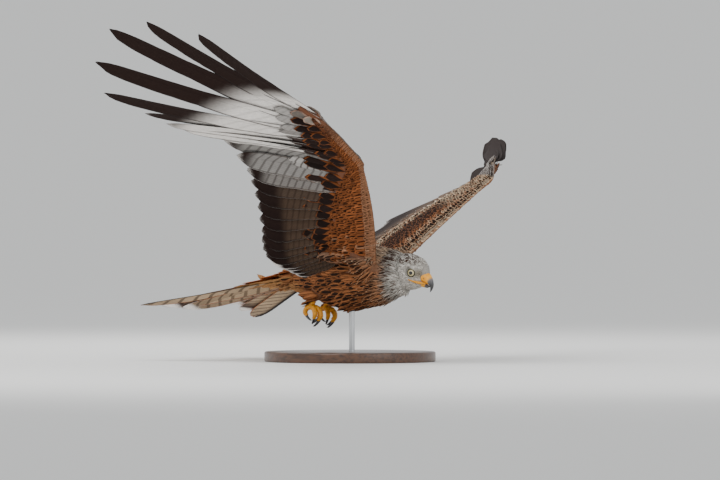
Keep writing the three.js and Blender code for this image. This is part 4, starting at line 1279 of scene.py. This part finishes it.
def tail_feathers():
    """Twelve feathers in a shallow fork, with the coverts over their bases."""
    tail = tail_frame()
    lay = {k: tail[k] for k in ("root", "along", "up", "outer", "length")}
    lay["width"] = 18.0
    piece, where = feathers(
        "tail_feathers", lay, "secondary", 38, FLIGHT_COLUMNS, curl=0.02,
        sweep=np.where(tail["rank"] >= 5, 0.05, 0.01), cup=0.06, twist=np.radians(TAIL_TWIST), thick=0.5,
        shaft=1.6, outer_share=0.36, ragged=0.05, slant=0.35,
    )
    patch = [[0.9 / TAIL_FEATHERS, 0.97]]
    paint(piece, where, tail_marks(where, tail), strips(TAIL_FEATHERS, 0.01), patch)
    dress(piece, plumage_material(), "plumage_tail", "tail")
    for face, name in ((1, "over"), (-1, "under")):
        roots, lies, lengths, widths = [], [], [], []
        for row, (start, spread, length, width, lift) in enumerate(TAIL_COVERT_ROWS):
            for k in np.linspace(-1, 1, 9 + row % 2):
                fan = math.radians(k * 22 * (1 - 0.08 * row))
                lie = tail["axis"] * math.cos(fan) + tail["right"] * math.sin(fan)
                round_off = math.sqrt(max(1 - (0.9 * k) ** 2, 0.05))
                root = TAIL_ROOT + tail["axis"] * start + tail["right"] * (k * spread)
                roots.append(root + tail["normal"] * face * lift * round_off)
                lies.append(unit(lie - tail["normal"] * face * 0.07 * round_off))
                lengths.append(length * rng.normal(1, 0.06))
                widths.append(width)
        count = len(roots)
        lay = {
            "root": np.array(roots), "along": np.array(lies), "length": np.array(lengths),
            "width": np.array(widths), "up": np.tile(tail["normal"] * face, (count, 1)),
        }
        piece, where = feathers(
            f"tail_coverts_{name}", lay, "covert", 10, COVERT_COLUMNS, curl=0.02, cup=0.3, thick=0.5,
            ragged=0.25,
        )
        ground = tint("tail_rufous") if face > 0 else tint("ochre")
        marks = {
            "ground": ground, "mark": tint("streak") * 1.6, "fringe": ground * 1.4,
            "streak": 0.1 if face > 0 else 0.05, "edge": 0.1,
        }
        paint(piece, where, marks, strips(count, 0.4), 0.012)
        dress(piece, plumage_material(), "plumage_tail", "tail")


# Head: eyes, lids, bill
def placed(head_point):
    """A point of the head's frame in metres above the floor."""
    return Vector(in_metres(from_head(head_point)))


def settle(piece):
    """Puts a piece's place and turn into its mesh."""
    only(piece)
    bpy.ops.object.transform_apply(location=True, rotation=True, scale=True)


@made_once
def iris_material():
    """A pale fibrous iris with a dark rim, and the pupil, under a clear wet coat."""
    n = Nodes("iris")
    ring = n.attribute("ring").outputs["Fac"]
    fibre = n.noise(2600.0, 4.0, 0.6)
    iris = n.mix(tint("iris"), tint("iris") * [0.55, 0.42, 0.25], n.math("MULTIPLY", fibre, 0.9))
    iris = n.mix(iris, tint("iris") * 0.18, n.step(ring, 0.78, 0.98))
    iris = n.mix(iris, tint("iris") * 0.4, n.step(ring, 0.52, 0.42))
    colour = n.mix(iris, (0.002, 0.002, 0.002), n.step(ring, 0.44, 0.4))
    return n.finish(colour, 0.12, Coat_Weight=0.6, Coat_Roughness=0.02, Specular_IOR_Level=0.4)


def build_eyes():
    """Eyeballs with a pale iris, and the bare rim of skin round each."""
    sizes = bpy.context.scene.kite_sizes
    radius = sizes.eye_radius
    for name, side in SIDES.items():
        bpy.ops.object.select_all(action="DESELECT")
        axis = unit([0.42, side, -0.05])
        turn = Vector(axis @ HEAD_AXES).to_track_quat("Z", "Y").to_euler()
        centre = EYE_PLACE * [1, side, 1]
        bpy.ops.mesh.primitive_uv_sphere_add(
            segments=64, ring_count=40, radius=radius, location=placed(centre), rotation=turn
        )
        eye = bpy.context.object
        eye.name = "eyeball_" + name
        ring = np.array([math.acos(max(min(v.co.z / radius, 1), -1)) for v in eye.data.vertices])
        # The clear front of the eye bulges a little
        for v, r in zip(eye.data.vertices, ring):
            v.co *= 1 + 0.05 * float(smooth(0.8, 0.0, r))
        give(eye.data, "ring", ring, "FLOAT")
        settle(eye)
        dress(eye, iris_material(), "eye", "eye_" + name)
        bpy.ops.object.select_all(action="DESELECT")
        bpy.ops.mesh.primitive_torus_add(
            major_radius=sizes.lid_radius, minor_radius=sizes.lid_thickness, major_segments=72,
            minor_segments=16, location=placed(centre + axis * LID_FORWARD), rotation=turn,
        )
        lid = bpy.context.object
        lid.name = "lid_" + name
        settle(lid)
        n = Nodes("lid_skin_" + name)
        colour = n.mix(tint("lid"), tint("lid") * 0.4, n.noise(1500.0))
        dress(lid, n.finish(colour, 0.5, n.bump(n.noise(2200.0), 0.5, 0.0003)), "bare_yellow", "head")


@made_once
def horn_material():
    """Streaked horn, waxy yellow at its root, then grey, then nearly black."""
    n = Nodes("horn")
    along = n.add("SeparateXYZ", {0: n.attribute("along").outputs["Vector"]}).outputs[0]
    streaks = n.noise(260.0, 5.0, 0.6)
    colour = n.mix(tint("horn") * 3.2, tint("horn") * 0.35, n.step(along, 0.0, 0.62))
    colour = n.mix(colour, tint("horn") * 0.5, n.math("MULTIPLY", streaks, 0.4))
    colour = n.mix(colour, tint("yellow") * [1.0, 0.95, 0.75], n.step(along, 0.3, 0.18))
    return n.finish(colour, 0.3, n.bump(streaks, 0.2, 0.0003), Coat_Weight=0.25, Coat_Roughness=0.2)


@made_once
def bare_material():
    """Yellow skin of feet and mouth edge, in small scales with dark flecks."""
    n = Nodes("bare_skin")
    cells = n.add("TexVoronoi", {"Scale": 620.0, "Vector": n.object()}, feature="DISTANCE_TO_EDGE")
    grain = n.noise(900.0, 4.0)
    colour = n.mix(tint("yellow"), tint("yellow") * [0.75, 0.5, 0.3], n.math("MULTIPLY", grain, 0.7))
    groove = n.step(cells.outputs["Distance"], 0.12, 0.0)
    colour = n.mix(colour, tint("yellow") * [0.3, 0.2, 0.15], n.math("MULTIPLY", groove, 0.55))
    fleck = n.step(n.noise(330.0, 2.0), 0.66, 0.74)
    colour = n.mix(colour, (0.03, 0.02, 0.012), n.math("MULTIPLY", fleck, 0.6))
    height = n.math("SUBTRACT", n.math("MULTIPLY", grain, 0.3), groove)
    return n.finish(colour, 0.5, n.bump(height, 0.6, 0.0004), Subsurface_Weight=0.08, Subsurface_Scale=0.002)


def cere_material():
    """Waxy yellow, with painted shade in the nostrils."""
    n = Nodes("cere")
    grain = n.noise(700.0, 3.0)
    hollow = n.attribute("hollow").outputs["Fac"]
    dull = tint("yellow") * [0.8, 0.55, 0.3]
    colour = n.mix(tint("yellow") * [1.0, 0.98, 0.75], dull, n.math("MULTIPLY", grain, 0.6))
    # The dents of the nostrils are painted nearly black: painted shade.
    colour = n.mix(colour, (0.045, 0.012, 0.006), hollow)
    return n.finish(colour, 0.38, n.bump(grain, 0.25, 0.0003), Subsurface_Weight=0.1, Subsurface_Scale=0.002)


def give_along(piece, values):
    """Stores how far along its horn each point of a piece lies."""
    along = np.zeros((len(piece.data.vertices), 3))
    along[:, 0] = values
    give(piece.data, "along", along, "FLOAT_VECTOR")


# The upper bill from the cere to the tip of its hook: forward, up, half height and half width
HOOK = np.array([
    [28.4, -7.3, 8.5, 8.5], [31, -8.6, 7.9, 7.7], [34, -11.2, 6.1, 6.1], [36.6, -13.9, 4.9, 4.9],
    [38.6, -17, 3.9, 3.7], [39.2, -21, 2.9, 2.6], [38.7, -25, 1.9, 1.6], [36.8, -29.6, 0.3, 0.3],
])


def build_bill():
    """Waxy cere with its nostrils, hooked upper bill, lower bill and the yellow edge of the mouth."""
    rings = 26
    rows = np.array([table(BILL, t) for t in np.linspace(0, 0.5, rings)])
    centre = from_head(np.stack([rows[:, 0], rows[:, 0] * 0, (rows[:, 1] + rows[:, 2]) / 2], -1))
    across = np.tile(HEAD_AXES[1], (rings, 1))
    up = np.tile(HEAD_AXES[2], (rings, 1))
    puff = 0.5 * np.sin(np.linspace(0, math.pi, rings))
    cere = tube("cere_skin", centre, across, up, rows[:, 3] + puff, (rows[:, 1] - rows[:, 2]) / 2 + puff, 56)
    points = to_head(mesh_points(cere))
    # The nostrils are shallow dents; hollow marks them for the painted shade that the cere's finish puts in
    # them.
    hollow = np.zeros(len(points))
    for side in SIDES.values():
        off = points - NOSTRIL * [1, side, 1]
        nostril = smooth(1.15, 0.5, np.hypot(off[:, 0] / 1.1, off[:, 2] / 1.9))
        hollow = np.maximum(hollow, nostril * (points[:, 1] * side > 0))
    points[:, 1] -= np.sign(points[:, 1]) * hollow * 1.3
    cere.data.vertices.foreach_set("co", in_metres(from_head(points)).astype(np.float32).ravel())
    give(cere.data, "hollow", hollow, "FLOAT")
    dress(cere, cere_material(), "bare_yellow", "cere")
    rings, sides = 40, 40
    t = np.linspace(0, 1, rings)
    path = np.array([table(HOOK[:, :2], x) for x in t])
    ahead = unit(np.gradient(path, axis=0))
    points = from_head(np.stack([path[:, 0], 0 * path[:, 0], path[:, 1]], -1))
    # The first rings stand upright against the cere, and the rest turn with the hook
    over = np.stack([-ahead[:, 1], ahead[:, 0]], -1)
    over = unit(blend([[0.0, 1.0]], over, smooth(0, 0.4, t)))
    up = over[:, :1] * HEAD_AXES[0] + over[:, 1:] * HEAD_AXES[2]
    across = np.tile(HEAD_AXES[1], (rings, 1))
    horn = tube("upper_bill", points, across, up, read(HOOK[:, 3], t), read(HOOK[:, 2], t), sides)
    give_along(horn, np.repeat(t, sides))
    dress(horn, horn_material(), "horn", "bill_upper")
    rings, sides = 24, 24
    lower_path = from_head([[12, 0, -18.5], [22, 0, -19.5], [29, 0, -20.4], [34.5, 0, -20]])
    lower = limb("lower_bill", lower_path, [4.6, 4.2, 3, 1.0], sides, rings)
    give_along(lower, np.repeat(np.linspace(-0.3, 0.8, rings), sides))
    dress(lower, horn_material(), "horn", "bill_lower")
    for name, side in SIDES.items():
        path = from_head(MOUTH_EDGE * [1, side, 1])
        lip = limb("mouth_edge_" + name, path, [1.5, 2.4, 2.2, 1.1], 14, 28)
        dress(lip, bare_material(), "bare_yellow", "head")


# Legs
def toe_paths(leg, fan, length):
    """Curled toe and its claw, as paths out from the ankle and down."""
    ankle = np.array(leg["ankle"], float)
    out = np.array([math.cos(math.radians(fan)), leg["side"] * math.sin(math.radians(fan)), 0])

    def at(reach, drop, further=0.0, lower=0.0):
        return ankle + out * (reach * length + further) - [0, 0, drop * length + lower]

    toe = [at(0, 0, -1), at(0.4, 0.1), at(0.6, 0.45), at(0.42, 0.72)]
    claw = [at(0.5, 0.7), at(0.34, 0.86), at(0.34, 0.86, -5, 4), at(0.34, 0.86, -8.5, 5)]
    return toe, claw


def scutes(radii, count):
    """Radii along a toe or shank, stepped by its overlapping scales."""
    t = np.linspace(0, 1, count * 5)
    return np.interp(t, np.linspace(0, 1, len(radii)), radii) * (1.05 - 0.16 * ((t * count) % 1))


def build_legs():
    """Bare shanks, feet with curled toes and black claws."""
    for name, leg in LEGS.items():
        hip, knee, ankle = (np.array(leg[k], float) for k in ("hip", "knee", "ankle"))
        shank = limb("leg", [hip + (knee - hip) * 0.8, knee, ankle], scutes([5.2, 5.4, 5.6], 6), 20, 40)
        parts = [shank, limb("pad", [ankle + [-5, 0, 0], ankle, ankle + [5, 0, 0]], [3, 6.2, 3], 20, 12)]
        claws = []
        for number, (fan, length) in enumerate(TOES):
            toe, claw = toe_paths(leg, fan, length)
            parts.append(limb("toe", toe, scutes([5.0, 4.8, 4.4, 3.3], 9), 20, 60))
            claws.append(limb(f"talon_{name}_{number + 1}", claw, [2.5, 2.3, 1.6, 0.35], 16, 24))
        foot = join(parts, "bare_leg_" + name)
        finish_with(foot, "REMESH", mode="VOXEL", voxel_size=FOOT_VOXEL, adaptivity=0.0)
        finish_with(foot, "SMOOTH", factor=0.5, iterations=3)
        dress(foot, bare_material(), "bare_yellow", "shank_" + name, "foot_" + name)
        for number, claw in enumerate(claws):
            give_along(claw, 0.8)
            dress(claw, horn_material(), "horn", f"claw_{name}_{number + 1}")


# Stand
def wood_material():
    """Dark lacquered wood with its grain along X."""
    n = Nodes("stand_wood")
    spot = n.add("Mapping", {"Vector": n.object(), "Scale": (3.0, 22.0, 22.0)}).outputs[0]
    grain = n.noise(9.0, 6.0, 0.6, spot)
    pores = n.noise(60.0, 4.0, 0.7, spot)
    colour = n.mix(tint("wood"), tint("wood") * 0.35, n.step(grain, 0.35, 0.7))
    colour = n.mix(colour, tint("wood") * 0.2, n.math("MULTIPLY", n.step(pores, 0.6, 0.75), 0.5))
    return n.finish(colour, 0.36, n.bump(pores, 0.15, 0.0005), Coat_Weight=0.3, Coat_Roughness=0.25)


def steel_material():
    """Steel brushed along the rod."""
    n = Nodes("stand_steel")
    spot = n.add("Mapping", {"Vector": n.object(), "Scale": (1.0, 1.0, 14.0)}).outputs[0]
    brushed = n.noise(180.0, 3.0, 0.5, spot)
    rough = n.math("MULTIPLY_ADD", brushed, 0.2, 0.22)
    return n.finish((0.56, 0.57, 0.58), rough, n.bump(brushed, 0.1, 0.0002), Metallic=1.0)


def turned(name, box, sides):
    """A round upright solid that fills a box."""
    low, high = (np.array(c) for c in box)
    bpy.ops.object.select_all(action="DESELECT")
    bpy.ops.mesh.primitive_cylinder_add(
        vertices=sides, radius=(high[0] - low[0]) / 2, depth=high[2] - low[2], location=(low + high) / 2
    )
    piece = bpy.context.object
    piece.name = name
    settle(piece)
    return piece


def build_stand():
    """A bevelled wooden disc and a steel rod up into the belly."""
    base = turned("wooden_base", BASE_BOX, 128)
    bevel = bpy.context.scene.kite_sizes.base_bevel
    finish_with(base, "BEVEL", width=bevel, segments=4, limit_method="ANGLE")
    dress(base, wood_material(), "stand_wood", "stand_base")
    rod = turned("steel_rod", ROD_BOX, 48)
    dress(rod, steel_material(), "stand_steel", "stand_rod")
    for piece in (base, rod):
        only(piece)
        bpy.ops.object.shade_smooth_by_angle(angle=math.radians(35))


# Studio
CAMERA_AZIMUTH = math.radians(34)
CAMERA_RISE = math.radians(1)
CAMERA_AWAY = 40.0
CAMERA_TARGET = Vector((0.0145, 0.0098, 0.213))
FRAME_WIDTH = 1.26
SENSOR_WIDTH = 36
FLOOR_SIZE = 500
VIEW_END = 600


def build_stage():
    """Pale floor, soft lights and the camera at the photograph's angle."""
    bpy.ops.object.select_all(action="DESELECT")
    bpy.ops.mesh.primitive_plane_add(size=FLOOR_SIZE, location=(0, 0, 0))
    floor = bpy.context.object
    floor.name = "floor"
    n = Nodes("floor")
    floor.data.materials.append(n.finish(srgb(236, 235, 232), 0.9))
    world = bpy.data.worlds.new("studio")
    world.use_nodes = True
    sky = world.node_tree.nodes["Background"].inputs
    sky["Color"].default_value = (0.86, 0.88, 0.9, 1)
    sky["Strength"].default_value = 0.95
    bpy.context.scene.world = world
    back = Vector((math.sin(CAMERA_AZIMUTH), -math.cos(CAMERA_AZIMUTH), 0))
    beside = Vector((math.cos(CAMERA_AZIMUTH), math.sin(CAMERA_AZIMUTH), 0))
    # Each lamp's place from the target, its size in metres and its power in watts
    lamps = {
        "key": (back * 1.6 - beside * 1.0 + Vector((0, 0, 1.6)), 1.3, 30),
        "fill": (back * 1.8 + beside * 1.6 + Vector((0, 0, 0.7)), 1.6, 12),
        "rim": (back * -1.6 - beside * 0.3 + Vector((0, 0, 1.5)), 1.2, 26),
    }
    for name, (place, size, power) in lamps.items():
        light = bpy.data.lights.new(name, "AREA")
        light.size = size
        light.energy = power
        lamp = bpy.data.objects.new(name, light)
        lamp.location = CAMERA_TARGET + place
        lamp.rotation_euler = (-place).to_track_quat("-Z", "Y").to_euler()
        bpy.context.scene.collection.objects.link(lamp)
    data = bpy.data.cameras.new("camera")
    data.sensor_width = SENSOR_WIDTH
    data.lens = SENSOR_WIDTH * CAMERA_AWAY / FRAME_WIDTH
    data.clip_end = VIEW_END
    camera = bpy.data.objects.new("camera", data)
    away = back * math.cos(CAMERA_RISE) + Vector((0, 0, math.sin(CAMERA_RISE)))
    camera.location = CAMERA_TARGET + away * CAMERA_AWAY
    camera.rotation_euler = (-away).to_track_quat("-Z", "Y").to_euler()
    bpy.context.scene.collection.objects.link(camera)
    bpy.context.scene.camera = camera


# Settings and buttons
def colour_setting(name, description, *screen):
    """A colour property whose default is given as it is seen on a screen."""
    return bpy.props.FloatVectorProperty(
        name=name, description=description, subtype="COLOR", size=3, min=0, max=1,
        default=tuple(float(c) for c in srgb(*screen)),
    )


def length_setting(name, description, metres):
    """A length property in metres."""
    return bpy.props.FloatProperty(
        name=name, description=description, default=metres, min=0.0001, precision=5, subtype="DISTANCE",
        unit="LENGTH",
    )


class KiteSizes(bpy.types.PropertyGroup):
    """Sizes of the eyes and of the stand's edge"""

    eye_radius: length_setting("Eye radius", "Radius of each eyeball", 0.008)
    lid_radius: length_setting("Lid radius", "Radius of the bare ring round each eye", 0.00655)
    lid_thickness: length_setting("Lid thickness", "Half the thickness of that ring", 0.00115)
    base_bevel: length_setting("Base bevel", "Width of the bevel of the wooden base", 0.003)


class KiteColours(bpy.types.PropertyGroup):
    """Colours of the plumage, the bare parts and the stand"""

    rufous: colour_setting("Rufous", "Ground colour of the body feathers", 160, 101, 63)
    orange: colour_setting("Orange", "Small coverts under the wing", 136, 79, 45)
    mantle: colour_setting("Mantle", "Grey-brown of the back and upper wing", 118, 96, 80)
    ochre: colour_setting("Ochre", "Thighs, vent and undertail", 172, 124, 78)
    cream: colour_setting("Cream", "Pale feather edges and wing band", 226, 200, 168)
    head_grey: colour_setting("Head grey", "Ground colour of the head", 224, 218, 208)
    streak: colour_setting("Streak", "Shaft streaks of body and head", 44, 31, 25)
    dark_wing: colour_setting("Dark wing", "Finger feathers and tips", 40, 29, 26)
    window: colour_setting("Window", "White of the inner primaries below", 236, 230, 224)
    tail_rufous: colour_setting("Tail rufous", "Upper side of the tail", 176, 96, 50)
    tail_buff: colour_setting("Tail buff", "Under side of the tail", 188, 162, 132)
    yellow: colour_setting("Yellow", "Cere, mouth edge and feet", 240, 170, 32)
    horn: colour_setting("Horn", "Bill and claws", 78, 76, 78)
    iris: colour_setting("Iris", "Eye", 232, 222, 176)
    lid: colour_setting("Lid", "Bare rim round the eye", 74, 68, 44)
    wood: colour_setting("Wood", "Stand", 92, 60, 40)


class KiteOperator:
    """What the operators share: each makes its pieces, and an error stops it"""

    bl_options = {"REGISTER", "UNDO"}

    def execute(self, context):
        self.make()
        return {"FINISHED"}


class KITE_OT_coat(KiteOperator, bpy.types.Operator):
    """Makes the skin and the contour feathers of body and head"""

    bl_idname = "kite.coat"
    bl_label = "Skin and body coat"

    def make(self):
        body_coat(build_skin())


class KITE_OT_wings(KiteOperator, bpy.types.Operator):
    """Makes the flight feathers, coverts and thumb feathers of both wings"""

    bl_idname = "kite.wings"
    bl_label = "Wings"

    def make(self):
        for name in WINGS:
            wing = wing_frame(name)
            flight_feathers(wing)
            wing_coverts(wing)
            thumb_feathers(wing)


class KITE_OT_tail(KiteOperator, bpy.types.Operator):
    """Makes the tail feathers and their coverts"""

    bl_idname = "kite.tail"
    bl_label = "Tail"

    def make(self):
        tail_feathers()


class KITE_OT_face(KiteOperator, bpy.types.Operator):
    """Makes the eyes, lids, cere, bill and mouth edge"""

    bl_idname = "kite.face"
    bl_label = "Eyes and bill"

    def make(self):
        build_eyes()
        build_bill()


class KITE_OT_legs(KiteOperator, bpy.types.Operator):
    """Makes the legs, feet and claws"""

    bl_idname = "kite.legs"
    bl_label = "Legs"

    def make(self):
        build_legs()


class KITE_OT_stand(KiteOperator, bpy.types.Operator):
    """Makes the wooden base and its steel rod"""

    bl_idname = "kite.stand"
    bl_label = "Stand"

    def make(self):
        build_stand()


class KITE_OT_stage(KiteOperator, bpy.types.Operator):
    """Makes the floor, lights and camera"""

    bl_idname = "kite.stage"
    bl_label = "Studio"

    def make(self):
        build_stage()


PIECES = (
    KITE_OT_stage, KITE_OT_stand, KITE_OT_coat, KITE_OT_wings, KITE_OT_tail, KITE_OT_face, KITE_OT_legs,
)


class KITE_PT_panel(bpy.types.Panel):
    """Sizes and colours of the kite and the buttons that make its pieces"""

    bl_idname = "KITE_PT_panel"
    bl_label = "Red kite"
    bl_space_type = "VIEW_3D"
    bl_region_type = "UI"
    bl_category = "Kite"

    def draw(self, context):
        for name in KiteSizes.__annotations__:
            self.layout.prop(context.scene.kite_sizes, name)
        for name in KiteColours.__annotations__:
            self.layout.prop(context.scene.kite_colours, name)
        for piece in PIECES:
            self.layout.operator(piece.bl_idname)


CLASSES = (KiteSizes, KiteColours, *PIECES, KITE_PT_panel)


def register():
    """Adds the settings, operators and panel to Blender."""
    for kind in CLASSES:
        bpy.utils.register_class(kind)
    bpy.types.Scene.kite_sizes = bpy.props.PointerProperty(type=KiteSizes)
    bpy.types.Scene.kite_colours = bpy.props.PointerProperty(type=KiteColours)


def unregister():
    """Takes them away again."""
    del bpy.types.Scene.kite_colours
    del bpy.types.Scene.kite_sizes
    for kind in reversed(CLASSES):
        bpy.utils.unregister_class(kind)


def main():
    """Makes the studio and every piece."""
    register()
    bpy.ops.kite.stage()
    bpy.ops.kite.stand()
    bpy.ops.kite.coat()
    bpy.ops.kite.wings()
    bpy.ops.kite.tail()
    bpy.ops.kite.face()
    bpy.ops.kite.legs()


if __name__ == "__main__":
    main()
